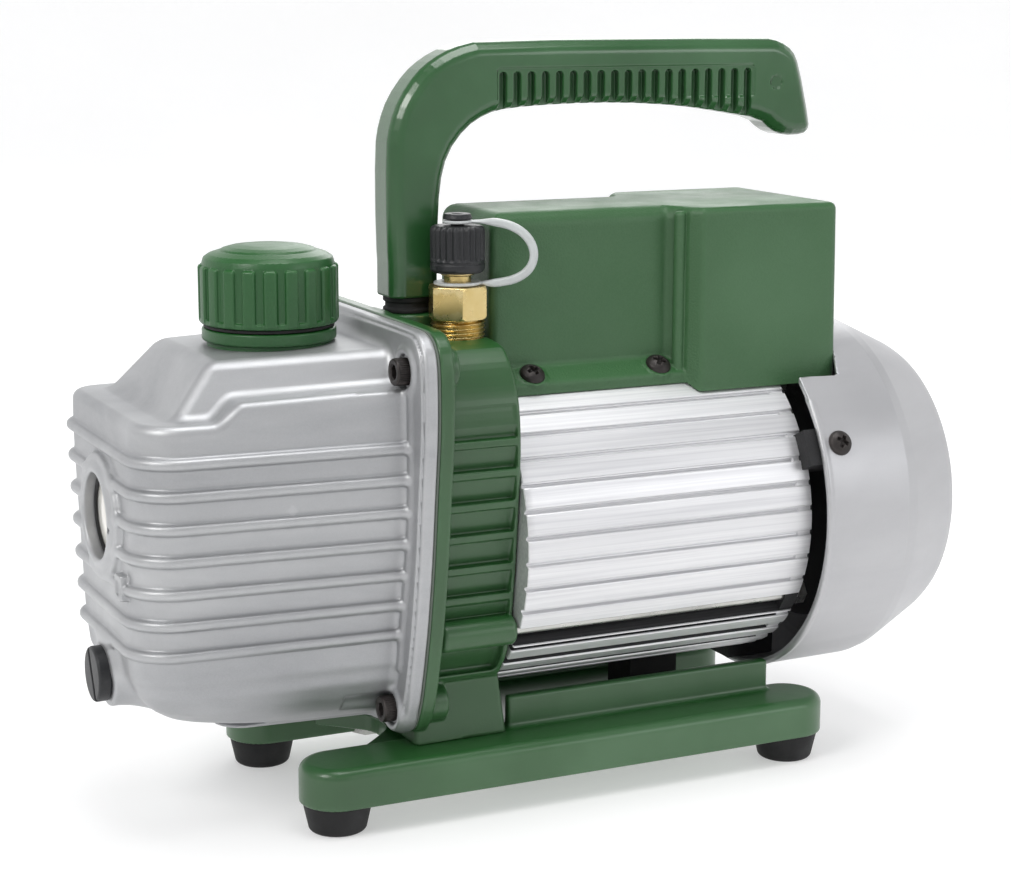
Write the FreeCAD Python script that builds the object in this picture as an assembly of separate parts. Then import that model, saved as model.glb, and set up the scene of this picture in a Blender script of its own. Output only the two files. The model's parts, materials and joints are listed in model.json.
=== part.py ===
import FreeCAD, Part
import os, math
from FreeCAD import Vector as V

# Rotary vane vacuum pump for air-conditioning work.
# Working frame: +X along the motor axis from the oil casing to the fan cover,
# +Z up, the floor at z = 0, x = 0 above the two front feet.  Every shape is
# moved by -XC on writing, so that the finished origin is at the bottom centre
# of the whole pump.  Millimetres throughout.

os.makedirs("parts", exist_ok=True)

# ---------------------------------------------------------------- dimensions
XC = 77.2            # middle of the overall length in the working frame
X_NOSE = -67.2       # foremost point, the drain plug's face
X_TAIL = 221.6       # rearmost point, the fan cover's face
AX_Z = 85.5          # height of the motor and pump axis
# base
FOOT_Y, FOOT_X2 = 35.0, 163.5
FOOT_R0, FOOT_R1, FOOT_H = 8.8, 11.0, 9.5
RAIL_R, RAIL_Z0, RAIL_Z1 = 12.0, 9.5, 22.5
# bracket between casing and motor
BR_X0, BR_X1, BR_X2 = 26.0, 30.6, 57.0
BR_TOP = 157.0
NECK_TOP = 149.0
# oil casing
CS_X0, CS_FL, CS_X1 = -60.0, 21.0, 25.4
CS_WALL = 3.0
RIB_Z = [121.0, 111.2, 101.1, 91.0, 80.7, 70.7, 60.8]
RIB_H, RIB_OUT = 3.2, 1.6
GLASS_Z, GLASS_R = 99.0, 13.2
DRAIN_Z = 49.0
DRAIN_HEAD_R, DRAIN_PITCH = 8.7, 1.5
# filler
FIL_X = -7.2
FIL_R, FIL_Z0, FIL_Z1, FIL_TOP = 21.5, 155.6, 174.0, 179.8
HUMP_Z = 149.0
# intake
IN_X, IN_Y = 49.0, -18.0
IN_THREAD_R, IN_AF = 8.25, 17.0
IN_CAP_R = 8.6
# handle
H_X = 39.6
# pump stage
ROT_R, ECC = 18.0, 3.7
BORE_R = ROT_R + ECC + 0.3
VANE_T = 3.6
# motor
MOT_R, MOT_X0, MOT_X1 = 53.0, 57.3, 156.0
COV_R, COV_X0, COV_T = 60.85, 162.4, 1.8
# electrical box
BX_X0, BX_X1, BX_X2 = 59.5, 125.0, 182.0
BX_H1, BX_H2, BX_TOP, BX_T = 21.0, 32.5, 188.0, 2.4
FIT = 0.03           # radial clearance of running fits

X, Y, Z = V(1, 0, 0), V(0, 1, 0), V(0, 0, 1)

# ------------------------------------------------------------------- helpers
def box(x0, y0, z0, x1, y1, z1):
    return Part.makeBox(x1 - x0, y1 - y0, z1 - z0, V(x0, y0, z0))

def cx(x0, x1, y, z, r):
    return Part.makeCylinder(r, x1 - x0, V(x0, y, z), X)

def cz(x, y, z0, z1, r):
    return Part.makeCylinder(r, z1 - z0, V(x, y, z0), Z)

def cyl(p, d, h, r):
    return Part.makeCylinder(r, h, V(*p), V(*d))

def cone(p, d, h, r0, r1):
    return Part.makeCone(r0, r1, h, V(*p), V(*d))

def poly(pts):
    p = [V(*q) for q in pts]
    return Part.makePolygon(p + [p[0]])

def prism(pts, d):
    return Part.Face(poly(pts)).extrude(V(*d))

def pyz(pts, x0, x1):
    return prism([(x0, y, z) for y, z in pts], (x1 - x0, 0, 0))

def pxz(pts, y0, y1):
    return prism([(x, y0, z) for x, z in pts], (0, y1 - y0, 0))

def pxy(pts, z0, z1):
    return prism([(x, y, z0) for x, y in pts], (0, 0, z1 - z0))

def sym(half):
    """Closed outline from its +Y half, listed from the top centre down."""
    return half + [(-y, z) for y, z in reversed(half) if y > 1e-6]

def revx(prof, y=0.0, z=AX_Z):
    """Turn a closed (x, r) profile about an X axis."""
    f = Part.Face(poly([(x, y, z + r) for x, r in prof]))
    return f.revolve(V(0, y, z), X, 360)

def revz(prof, x, y):
    """Turn a closed (r, z) profile about a Z axis."""
    f = Part.Face(poly([(x + r, y, z) for r, z in prof]))
    return f.revolve(V(x, y, 0), Z, 360)

def ring_x(x0, x1, r0, r1, y=0.0, z=AX_Z):
    return cx(x0, x1, y, z, r1).cut(cx(x0 - 1, x1 + 1, y, z, r0))

def ring_z(x, y, z0, z1, r0, r1):
    return cz(x, y, z0, z1, r1).cut(cz(x, y, z0 - 1, z1 + 1, r0))

def fuse(a, *more):
    for b in more:
        a = a.fuse(b)
    return a.removeSplitter()

def tidy(a):
    t = a.removeSplitter()
    return t if t.isValid() else a

def cut(a, *more):
    for b in more:
        a = a.cut(b)
    return a

def group(items):
    return Part.makeCompound(items)

def fillet(s, r, pick):
    es = [e for e in s.Edges if pick(e)]
    if not es:
        return s
    try:
        t = s.makeFillet(r, es)
        if t.isValid() and t.Volume > 0:
            return t
    except Exception:
        pass
    return s

def save(name, s):
    s = s.copy()
    s.translate(V(-XC, 0, 0))
    sol = s.Solids
    if not sol:
        raise RuntimeError(name + " has no solid")
    for q in sol:
        if not q.isValid() or q.Volume <= 0:
            print("CHECK", name, q.isValid(), q.Volume)
    out = sol[0] if len(sol) == 1 else Part.makeCompound(sol)
    out.exportStep("parts/%s.step" % name)
    b = out.BoundBox
    print("%-22s solids %2d  vol %9.0f  x %.1f..%.1f y %.1f..%.1f z %.1f..%.1f" % (
        name, len(sol), out.Volume, b.XMin, b.XMax, b.YMin, b.YMax, b.ZMin, b.ZMax))
    return out

def plan_u(xf, xb, hf, hb, r, z):
    """Plan outline of the casing at height z: flat front at xf, rounded front
    corners, open sides running back to xb.  Lines and two arcs."""
    # side direction from the front half-width hf to the rear half-width hb
    ang = math.atan2(hb - hf, xb - xf)
    # arc centre so that the arc touches the front line and the side line
    t = math.tan((math.pi / 2 - ang) / 2)
    y_c = hf - r * (1 / math.cos(ang)) + (r) * math.tan(ang)
    cxx = xf + r
    p1 = V(xf, y_c, z)
    p2 = V(cxx - r * math.sin(ang), y_c + r * math.cos(ang), z)
    mid_a = (math.pi + (math.pi / 2 + ang)) / 2
    pm = V(cxx + r * math.cos(mid_a), y_c + r * math.sin(mid_a), z)
    def m(v):
        return V(v.x, -v.y, v.z)
    yb = p2.y + (xb - p2.x) * math.tan(ang)
    e = [Part.LineSegment(V(xb, -yb, z), m(p2)).toShape(),
         Part.Arc(m(p2), m(pm), m(p1)).toShape(),
         Part.LineSegment(m(p1), p1).toShape(),
         Part.Arc(p1, pm, p2).toShape(),
         Part.LineSegment(p2, V(xb, yb, z)).toShape(),
         Part.LineSegment(V(xb, yb, z), V(xb, -yb, z)).toShape()]
    return Part.Wire(e)

def loft(wires):
    return Part.makeLoft(wires, True, True)

# ---------------------------------------------------------------- base frame
def pill(y, x0, x1, r, z0, z1):
    s = fuse(cz(x0, y, z0, z1, r), cz(x1, y, z0, z1, r), box(x0, y - r, z0, x1, y + r, z1))
    return fillet(s, 3.0, lambda e: e.BoundBox.ZMin > z1 - 0.01)

rails = [pill(s * FOOT_Y, 0, FOOT_X2, RAIL_R, RAIL_Z0, RAIL_Z1) for s in (-1, 1)]
floor = pxy([(8, -27), (24, -12), (29, -6), (29, 6), (24, 12), (8, 27),
             (156, 27), (140, 12), (135, 6), (135, -6), (140, -12), (156, -27)], 14.5, 20.5)
webs = [box(60, s * 28.6 - 1.6, 20.0, 159, s * 28.6 + 1.6, 33.0) for s in (-1, 1)]
base = fuse(rails[0], rails[1], floor, webs[0], webs[1])
BOLTS = [(34, -24), (34, 24), (51, -24), (51, 24)]
for bx, by in BOLTS:
    base = base.cut(cz(bx, by, 5, 30, 3.2))
    base = base.cut(cz(bx, by, 5, 13.0, 6.0))
FEET = [(x, s * FOOT_Y) for x in (0, FOOT_X2) for s in (-1, 1)]
for fx, fy in FEET:
    base = base.cut(cz(fx, fy, 5, 19.0, 2.5))
PADX0, PADX1 = 118.0, 136.0
base = base.cut(cz(127, 0, 10, 25, 2.6))
save("base_frame", base)

feet, fscrews = [], []
for fx, fy in FEET:
    f = cone((fx, fy, 0), (0, 0, 1), FOOT_H, FOOT_R0, FOOT_R1)
    f = fillet(f, 1.2, lambda e: e.BoundBox.ZMax < 0.01)
    f = cut(f, cz(fx, fy, -1, 4.5, 4.8), cz(fx, fy, 4, 12, 2.5))
    feet.append(f)
    s = fuse(cz(fx, fy, 1.6, 4.5, 4.2), cz(fx, fy, 4.5, 18.0, 2.5))
    s = s.cut(box(fx - 3, fy - 0.5, 1, fx + 3, fy + 0.5, 2.8)).cut(box(fx - 0.5, fy - 3, 1, fx + 0.5, fy + 3, 2.8))
    fscrews.append(s)
save("rubber_feet", group(feet))
save("foot_screws", group(fscrews))

# ------------------------------------------------------------------- bracket
# outline of the front plate and of the casing flange, half, top to bottom
FL = [(0, BR_TOP), (45, BR_TOP), (50, 156.4), (54.2, 153.6), (56.6, 149), (57.3, 140),
      (57.3, 131.5), (56.8, 122.9), (54.8, 106.6), (52.8, 87.6), (49.6, 67.9), (47.2, 56.9),
      (43.1, 41.2), (40.5, 35), (37, 29.5), (33.5, 27.2), (0, 27.2)]
flange = sym(FL)
plate = pyz(flange, BR_X0, BR_X1)
# neck between the plate and the motor
NK = [(0, NECK_TOP), (33, NECK_TOP), (39, 145), (43.8, 138), (46.4, 132), (47.6, 121), (47.2, 111),
      (46.2, 101), (45.2, 91), (44.0, 80.7), (42.6, 70.7), (41.0, 61.5), (39.5, 55), (37.5, 50), (34, 45.5), (30.5, 41), (0, 41)]
neck = pyz(sym(NK), BR_X1 - 0.5, BR_X2)
foot = prism([(26, -34.4, 22.5), (60, -31.0, 22.5), (60, 31.0, 22.5), (26, 34.4, 22.5)], (0, 0, 7.5))
legs = pyz(sym([(0, 42), (30.5, 42), (31.5, 30), (0, 30)]), 30, 57)
low = pyz(sym([(0, 29), (33.4, 29), (34.4, 22.5), (0, 22.5)]), 26, 31)
br = fuse(plate, neck, foot, legs, low)
# horizontal ribs on the neck
def neck_w(z):
    for (y0, z0), (y1, z1) in zip(NK, NK[1:]):
        if z1 <= z <= z0:
            return y0 + (y1 - y0) * (z0 - z) / (z0 - z1)
for z in RIB_Z:
    w = neck_w(z) + 1.3
    br = br.fuse(box(BR_X1 - 0.4, -w, z - 1.3, BR_X2, w, z + 1.3))
# screw bosses behind the plate
SCREWS = [(44, 144.5), (-44, 144.5), (31.5, 35.5), (-31.5, 35.5)]
for sy, sz in SCREWS:
    br = br.fuse(cx(BR_X1 - 0.5, 38.0, sy, sz, 5.6))
# bosses for the two lower motor tie bolts
for sy in (-1, 1):
    br = br.fuse(cx(BR_X1 - 0.5, BR_X2, sy * 41.7, 59.4, 4.9))
# handle boss
br = br.fuse(cz(H_X, 0, NECK_TOP - 1, 156.0, 10.2))
# hollow inside: coupling chamber, motor register and the leg arch
cav1 = pyz(sym([(0, 127), (24, 127), (38, 115), (38, 90), (35, 62), (26, 54), (0, 50)]), 32.5, 46)
br = br.cut(cav1).cut(cx(50, 60, 0, AX_Z, 43.6))
arch = pyz([(-13, 20), (-13, 33), (-10, 37), (10, 37), (13, 33), (13, 20)], 33, 70)
br = br.cut(arch)
# bearing wall
br = br.fuse(ring_x(44.5, 54.6, 16.0, 20.0))
br = br.cut(cx(44.6, 60, 0, AX_Z, 16.0)).cut(cx(30, 50, 0, AX_Z, 12.0))
# shaft seal pocket and pump shaft hole in the front wall
br = br.cut(cx(25, 40, 0, AX_Z, 8.0)).cut(cx(28.5, 40, 0, AX_Z, 13.0))
# suction passage from the intake port to the pump stage
br = br.cut(cz(IN_X, IN_Y, 139.0, 160, IN_THREAD_R)).cut(cz(IN_X, IN_Y, 131.5, 140, 4.0))
br = br.cut(cyl((IN_X, IN_Y, 134.0), (29.0 - IN_X, -9.0 - IN_Y, 0), math.hypot(29.0 - IN_X, -9.0 - IN_Y), 1.8))
br = br.cut(cyl((24, -9.0, 107.0), (1, 0, 0), 5.0, 2.4)).cut(cz(29.0, -9.0, 106.9, 134.0, 1.8))
# tapped holes for the casing screws, the handle stud and the base bolts
for sy, sz in SCREWS:
    br = br.cut(cx(24, 37.0, sy, sz, 2.5))
br = br.cut(cz(H_X, 0, 138.0, 160, 5.0))
for bx, by in BOLTS:
    br = br.cut(cz(bx, by, 20, 29.5, 3.0))

bb = []
for bx, by in BOLTS:
    h = prism([(bx + 5.6 * math.cos(a), by + 5.6 * math.sin(a), 9.2) for a in
               [math.radians(60 * i) for i in range(6)]], (0, 0, 3.8))
    bb.append(fuse(h, cz(bx, by, 13.0, 29.0, 3.0)))
save("bracket_bolts", group(bb))

# -------------------------------------------------------------- oil casing
# (height, front x, front half-width, rear half-width, corner radius)
SEC = [(30.0, -22, 8, 14, 6), (32.0, -32, 14, 19, 9), (35.5, -41, 19.5, 24, 11), (40.0, -49, 24.5, 28.5, 13),
       (46.0, -55.5, 28.5, 33.0, 14), (52.0, -59.2, 30.0, 35.0, 14), (60.8, -60.0, 31.4, 35.7, 14), (70.7, -60.0, 32.4, 38.3, 14),
       (80.7, -60.0, 33.2, 40.6, 14), (91.0, -60.0, 35.4, 42.9, 14), (101.1, -60.0, 37.0, 44.1, 14),
       (111.2, -60.0, 38.2, 44.3, 14), (121.0, -60.0, 39.6, 44.4, 14), (129.5, -59.6, 38.6, 44.0, 14),
       (133.0, -57.6, 35.5, 42.0, 12)]
def sec(z):
    for a, b in zip(SEC, SEC[1:]):
        if a[0] <= z <= b[0]:
            t = (z - a[0]) / (b[0] - a[0])
            return [a[i] + (b[i] - a[i]) * t for i in range(5)]
    return list(SEC[-1] if z > SEC[-1][0] else SEC[0])
def shell_loft(inset, zs, xb):
    ws = []
    for z in zs:
        _, xf, hf, hb, r = sec(z)
        ws.append(plan_u(xf + inset, xb, hf - inset, hb - inset, max(r - inset, 2.0), z))
    return loft(ws)
outer = shell_loft(0, [s[0] for s in SEC], CS_FL + 1.0)
# raised shoulder and hump along the top
def trap(x0, x1, h0, h1, z):
    return poly([(x0, -h0, z), (x1, -h1, z), (x1, h1, z), (x0, h0, z)])
should = loft([trap(-38.5, 22, 38.0, 42.5, 130.0), trap(-31.0, 22, 37.0, 42.5, 137.6)])
hump = loft([trap(-50.0, 22, 33.5, 42.0, 131.5), trap(-33.0, 22, 24.0, 30.0, HUMP_Z)])
outer = fuse(outer, should, hump)
for z in RIB_Z:
    _, xf, hf, hb, r = sec(z)
    w = Part.Face(plan_u(xf - RIB_OUT, CS_FL + 1, hf + RIB_OUT, hb + RIB_OUT, r + RIB_OUT, z - RIB_H / 2))
    outer = outer.fuse(w.extrude(V(0, 0, RIB_H)))
outer = outer.fuse(pyz(flange, CS_FL, CS_X1))
# sight glass ring and drain boss
outer = outer.fuse(cx(-63.0, -57, 0, GLASS_Z, 16.6))
outer = outer.fuse(cx(-62.8, -46, 0, DRAIN_Z, 10.6))
inner = shell_loft(CS_WALL, [34.0, 35.5, 40.0, 46.0, 52.0, 60.8, 70.7, 80.7, 91.0, 101.1, 111.2, 121.0, 129.5], 20.0)
inner2 = loft([trap(-33.0, 20, 33.0, 38.0, 128.0), trap(-28.0, 20, 33.0, 38.0, 134.6)])
inner3 = loft([trap(-45.5, 20, 28.5, 36.0, 128.0), trap(-30.5, 20, 20.5, 26.5, 145.5)])
mouth = pyz(sym([(0, 145), (26.5, 145), (36.5, 134.5), (40.0, 121), (40.0, 101), (38.6, 91), (36.4, 80.7), (34.2, 70.7),
                 (31.6, 60.8), (30.4, 50), (25.0, 40.5), (20.5, 36), (0, 34)]), 15, 30)
cas = outer.cut(inner).cut(inner2).cut(inner3).cut(mouth)
# openings: filler, glass seat, drain hole, screw holes and head pockets
cas = cas.cut(cz(FIL_X, 0, 135, 160, 17.5))
cas = cas.cut(cx(-70, -59.4, 0, GLASS_Z, GLASS_R)).cut(cx(-70, -50, 0, GLASS_Z, 11.0))
cas = cas.cut(cx(-70, -40, 0, DRAIN_Z, 5.0))
for sy, sz in SCREWS:
    cas = cas.cut(cx(10, 30, sy, sz, 2.8)).cut(cx(10, CS_FL, sy, sz, 5.0))
cas = cas.removeSplitter()
save("oil_casing", cas)

gk = pyz(flange, CS_X1, BR_X0).cut(pyz(sym([(0, 145), (26.5, 145), (36.5, 134.5), (40.0, 121), (40.0, 101), (38.6, 91),
      (36.4, 80.7), (34.2, 70.7), (31.6, 60.8), (30.4, 50), (25.0, 40.5), (20.5, 36), (0, 34)]), 24, 28))
for sy, sz in SCREWS:
    gk = gk.cut(cx(24, 28, sy, sz, 2.8))
save("casing_gasket", gk)

def hexz(x, y, z0, z1, af, a0=0.0):
    r = af / 2 / math.cos(math.pi / 6)
    return prism([(x + r * math.cos(math.radians(a0 + 60 * i)), y + r * math.sin(math.radians(a0 + 60 * i)), z0)
                  for i in range(6)], (0, 0, z1 - z0))

def hexx(x0, x1, y, z, af):
    r = af / 2 / math.cos(math.pi / 6)
    return pyz([(y + r * math.cos(math.radians(60 * i)), z + r * math.sin(math.radians(60 * i))) for i in range(6)], x0, x1)

cs = []
for sy, sz in SCREWS:
    s = fuse(cx(16.0, CS_FL, sy, sz, 4.25), cx(CS_FL, 36.5, sy, sz, 2.5))
    s = s.cut(hexx(15.5, 18.6, sy, sz, 4.0))
    cs.append(s)
save("casing_screws", group(cs))

# sight glass: lens and its retaining ring
save("sight_glass_lens", revx([(-62.2, 0), (-61.0, 11.0), (-59.9, 12.0), (-59.9, 0)], 0, GLASS_Z)
     .fuse(cx(-59.9, -57.0, 0, GLASS_Z, 10.9)).removeSplitter())
save("sight_glass_seal", ring_x(-60.6, -59.4, 12.1, GLASS_R - 0.02, 0, GLASS_Z))

# ------------------------------------------------------------- drain plug
plug = cx(X_NOSE, -62.8, 0, DRAIN_Z, DRAIN_HEAD_R)
plug = fillet(plug, 0.6, lambda e: e.BoundBox.XMax < X_NOSE + 0.01)
plug = plug.fuse(cx(-63.5, -50.5, 0, DRAIN_Z, 4.9))
plug = plug.cut(box(X_NOSE - 1, -20, DRAIN_Z - 0.75, X_NOSE + 1.8, 20, DRAIN_Z + 0.75))
plug.rotate(V(0, 0, DRAIN_Z), X, 66)
plug.translate(V(0, 0, 0))
ORI_X = -62.8
plug = plug.cut(ring_x(-64.2, -62.0, 5.4, 7.9, 0, DRAIN_Z))
save("drain_plug", plug.removeSplitter())
save("drain_o_ring", ring_x(-64.0, -62.8, 5.7, 7.6, 0, DRAIN_Z))

# ----------------------------------------------------------- filler and cap
nk = fuse(cz(FIL_X, 0, HUMP_Z, 150.6, 19.4), cz(FIL_X, 0, 150.4, 154.2, 20.7), cz(FIL_X, 0, 154.0, 168.0, 17.2),
          cz(FIL_X, 0, 139.5, HUMP_Z + 0.2, 17.4))
nk = nk.cut(cz(FIL_X, 0, 130, 180, 14.6))
save("filler_neck", nk)
g = ring_z(FIL_X, 0, 154.5, 155.3, 17.5, 20.3)
save("filler_cap_gasket", g)
cap = revz([(0, FIL_TOP), (8, FIL_TOP - 0.2), (14, FIL_TOP - 1.2), (18.6, FIL_TOP - 3.2), (20.6, FIL_Z1), (20.6, FIL_Z0),
            (17.7, FIL_Z0), (17.7, 170.0), (0, 170.0)], FIL_X, 0)
for i in range(20):
    a = math.radians(18 * i + 9)
    rib = box(19.5, -1.5, FIL_Z0, FIL_R, 1.5, FIL_Z1 + 0.6)
    rib.rotate(V(0, 0, 0), Z, math.degrees(a))
    rib.translate(V(FIL_X, 0, 0))
    cap = cap.fuse(rib)
save("filler_cap", cap.removeSplitter())
# exhaust mist filter seated in the neck
flt = cz(FIL_X, 0, 141.0, 166.0, 14.3).cut(cz(FIL_X, 0, 138.0, 162.0, 6.0))
save("exhaust_filter", flt)

# ------------------------------------------------------------------ handle
outer_h = [(31.7, 161.2), (30.6, 180), (30.6, 208), (32.0, 216), (35.0, 223.5), (40.7, 231.1), (46.5, 235.6), (53.5, 239),
           (63.0, 241.2), (168.0, 241.2), (173.5, 240.2), (178.6, 237.2), (181.3, 232.0), (186.0, 212.6), (185.6, 210.2),
           (183.6, 208.5), (176.2, 208.4), (171.5, 210.2), (166.7, 214.2), (152.8, 216.7), (135.8, 219.2), (113.8, 220.7),
           (92.2, 220.7), (72.3, 219.7), (65.0, 218.0), (57.8, 213.8), (51.5, 206), (48.8, 196.0), (47.9, 180), (47.6, 161.2)]
h = pxz(outer_h, -8.5, 8.5)
hb = [(x, z) for x, z in outer_h]
# grip slots from each side, open through the underside
for i in range(19):
    gx = 69.6 + i * (159.6 - 69.6) / 18.0
    for s in (-1, 1):
        y0, y1 = (-9, -5.5) if s < 0 else (5.5, 9)
        h = h.cut(box(gx - 1.25, y0, 205, gx + 1.25, y1, 231.0))
# chamfer the long edges by cutting with tilted bars along the grip
for s in (-1, 1):
    c = prism([(50, s * 8.6, 237.4), (50, s * 8.6, 242.5), (50, s * 4.2, 242.5)], (140, 0, 0))
    h = h.cut(c)
    c = prism([(30.0, s * 8.6, 160), (35.2, s * 8.6, 160), (30.0, s * 3.8, 160)], (0, 0, 62))
    h = h.cut(c)
h = h.cut(cz(H_X, 0, 150, 181.0, 5.0))
save("handle", h.removeSplitter())
save("handle_collar", ring_z(H_X, 0, 156.0, 161.2, 5.0, 7.3))
save("handle_stud", cz(H_X, 0, 139.0, 180.0, 4.98))

# ---------------------------------------------------------- intake fitting
fit = fuse(cz(IN_X, IN_Y, 141.0, 155.4, 8.2), hexz(IN_X, IN_Y, 155.4, 166.0, IN_AF, 15.0),
           cz(IN_X, IN_Y, 166.0, 169.6, 4.0), cz(IN_X, IN_Y, 169.4, 180.2, 5.5))
fit = fit.cut(cz(IN_X, IN_Y, 140, 182, 2.4)).cut(cz(IN_X, IN_Y, 140.5, 150.0, 5.2))
save("intake_fitting", fit)
save("inlet_strainer", cz(IN_X, IN_Y, 139.4, 149.6, 4.9).cut(cz(IN_X, IN_Y, 138.5, 148.8, 3.6)))
icap = cz(IN_X, IN_Y, 170.0, 184.7, IN_CAP_R)
icap = fillet(icap, 1.6, lambda e: e.BoundBox.ZMin > 184.6)
icap = icap.cut(cz(IN_X, IN_Y, 169, 181.8, 5.8))
for i in range(24):
    a = math.radians(15 * i)
    icap = icap.cut(cz(IN_X + 8.85 * math.cos(a), IN_Y + 8.85 * math.sin(a), 173.4, 186, 0.62))
save("intake_cap", icap.removeSplitter())
save("intake_cap_seal", ring_z(IN_X, IN_Y, 180.5, 181.5, 2.2, 5.4))
save("cap_knob", fuse(cz(IN_X, IN_Y, 184.7, 186.9, 2.0), cone((IN_X, IN_Y, 186.9), (0, 0, 1), 1.4, 4.3, 3.6)))
# tether strap: ring under the knob, loop of flat strip, ring on the hex
def strap():
    bot = ring_z(IN_X, IN_Y, 166.1, 167.1, 4.3, 7.4)
    # bowed strip in a vertical plane, running out towards +X
    dx, dy = 0.88, -0.475
    o = []
    pts_o = [(3.9, 185.4), (11.5, 185.4), (17.6, 184.0), (22.0, 180.6), (23.8, 176.0), (22.6, 171.6), (18.6, 168.5), (12.3, 167.1), (6.6, 167.1)]
    pts_i = [(6.6, 166.1), (12.5, 166.1), (19.1, 167.6), (23.5, 171.1), (24.8, 176.1), (22.9, 181.1), (18.1, 184.9), (11.7, 186.4), (3.9, 186.4)]
    pts = [(IN_X + dx * u, IN_Y + dy * u, z) for u, z in pts_o + pts_i]
    n = (-dy, dx)
    f = Part.Face(poly([(x - n[0] * 1.5, y - n[1] * 1.5, z) for x, y, z in pts]))
    s = f.extrude(V(n[0] * 3.0, n[1] * 3.0, 0))
    top = ring_z(IN_X, IN_Y, 185.4, 186.4, 2.3, 4.6)
    return fuse(bot, s, top)
st = strap()
st = st.cut(cz(IN_X, IN_Y, 165, 168, 4.3)).cut(cz(IN_X, IN_Y, 184, 188, 2.3))
save("cap_tether", st)

# -------------------------------------------------------------- pump stage
BZ = AX_Z + ECC
PC_X0, PC_X1 = -8.0, 20.0       # cylinder
EP_X0 = -14.0                   # outer end plate
body = cx(PC_X0, PC_X1, 0, AX_Z, 32.0)
cylr = body.cut(cx(PC_X0 - 1, PC_X1 + 1, 0, BZ, BORE_R))
PS = [(27 * math.cos(math.radians(a)), 27 * math.sin(math.radians(a))) for a in (210, 330, 30 + 125, 30 - 5)]
for py, pz in PS:
    cylr = cylr.cut(cx(PC_X0 - 1, PC_X1 + 1, py, AX_Z + pz, 2.2))
cylr = cylr.cut(cyl((6, 8, AX_Z + 18), (0, 0, 1), 20, 2.5))          # outlet port
cylr = cylr.cut(cyl((14, -9.0, 107.0), (1, 0, 0), 8, 2.5))            # inlet port
def plate_x(x0, x1, r, bore):
    p = cx(x0, x1, 0, AX_Z, r).cut(cx(x0 - 1, x1 + 1, 0, AX_Z, bore))
    for py, pz in PS:
        p = p.cut(cx(x0 - 1, x1 + 1, py, AX_Z + pz, 2.2))
    return p
save("pump_end_plate", plate_x(EP_X0, PC_X0, 32.0, 7.0 + FIT))
mid = plate_x(PC_X1, BR_X0, 32.0, 7.0 + FIT).cut(cx(18, 28, -9.0, 107.0, 2.5))
save("pump_wear_plate", mid)
ps = []
for py, pz in PS:
    s = fuse(cx(-19.0, EP_X0, py, AX_Z + pz, 4.0), cx(EP_X0, PC_X1 + 5.5, py, AX_Z + pz, 2.1))
    s = s.cut(hexx(-19.5, -17.0, py, AX_Z + pz, 3.6))
    ps.append(s)
# exhaust reed and its stop on top of the cylinder
seat_z = AX_Z + 31.0
flatcut = box(-3, 0.5, seat_z - 0.2, 17, 15.5, seat_z + 6)
seat_z = seat_z - 0.2
cylr = cylr.cut(flatcut).cut(cz(12.0, 8, seat_z - 4, seat_z + 2, 1.25))
save("pump_cylinder", cylr)
reed = box(-1, 4, seat_z, 14.5, 12, seat_z + 0.4).cut(cz(12.0, 8, seat_z - 1, seat_z + 2, 1.25))
save("exhaust_reed", reed)
stop = pxz([(14.5, seat_z + 0.4), (14.5, seat_z + 1.8), (9.0, seat_z + 1.8), (-1, seat_z + 4.2), (-1, seat_z + 2.8), (8.2, seat_z + 0.4)], 4, 12)
stop = stop.cut(cz(12.0, 8, seat_z - 1, seat_z + 6, 1.25))
save("reed_stop", stop)
ps.append(fuse(cz(12.0, 8, seat_z - 3.0, seat_z + 2.4, 1.2), cz(12.0, 8, seat_z + 1.8, seat_z + 3.4, 2.4)))
save("pump_screws", group(ps))

# rotor with two vane slots, journals in both end plates
rot = fuse(cx(PC_X0 + 0.3, PC_X1 - 0.3, 0, AX_Z, ROT_R), cx(EP_X0 - 1.0, PC_X0 + 0.5, 0, AX_Z, 7.0),
           cx(PC_X1 - 0.5, 33.0, 0, AX_Z, 7.0), cx(33.0, 37.6, 0, AX_Z, 5.0))
slot = box(PC_X0, -ROT_R - 1, AX_Z - 2.0, PC_X1, ROT_R + 1, AX_Z + 2.0).cut(cx(-20, 40, 0, AX_Z, 7.4))
rot = rot.cut(slot)
for sx in (-1.0, 13.0):
    rot = rot.cut(cyl((sx, -10, AX_Z), (0, 1, 0), 20, 2.4))
save("pump_rotor", rot)
for nm, s in (("vane_a", -1), ("vane_b", 1)):
    y0, y1 = (ROT_R - 0.4, 8.6)
    a, b = sorted((s * (ROT_R - 0.4), s * 8.6))
    v = box(PC_X0 + 0.4, a, AX_Z - VANE_T / 2, PC_X1 - 0.4, b, AX_Z + VANE_T / 2)
    tip = cyl((PC_X0, s * (ROT_R - 0.4 - 3.0), AX_Z), (1, 0, 0), 40, 3.0)
    inn = box(PC_X0, min(a, b) if s > 0 else s * (ROT_R - 3.4), AX_Z - 3, PC_X1, s * (ROT_R - 3.4) if s > 0 else max(a, b), AX_Z + 3)
    save(nm, v.common(tip.fuse(inn)))
# two pusher springs between the vanes
spr = []
for sx in (-1.0, 13.0):
    hx = Part.makeHelix(2.4, 15.0, 1.7)
    prof = Part.Wire(Part.makeCircle(0.3, V(1.7, 0, 0), V(0, 1, 0)))
    sp = Part.Wire(hx).makePipeShell([prof], True, False)
    sp.rotate(V(0, 0, 0), X, -90)
    sp.translate(V(sx, -7.5, AX_Z))
    spr.append(sp if sp.ShapeType == "Solid" else Part.makeSolid(sp))
save("vane_springs", group(spr))
save("shaft_seal", ring_x(28.5, 32.5, 7.0 + FIT, 13.0).cut(ring_x(30.5, 33.0, 8.5, 11.0)))
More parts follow.
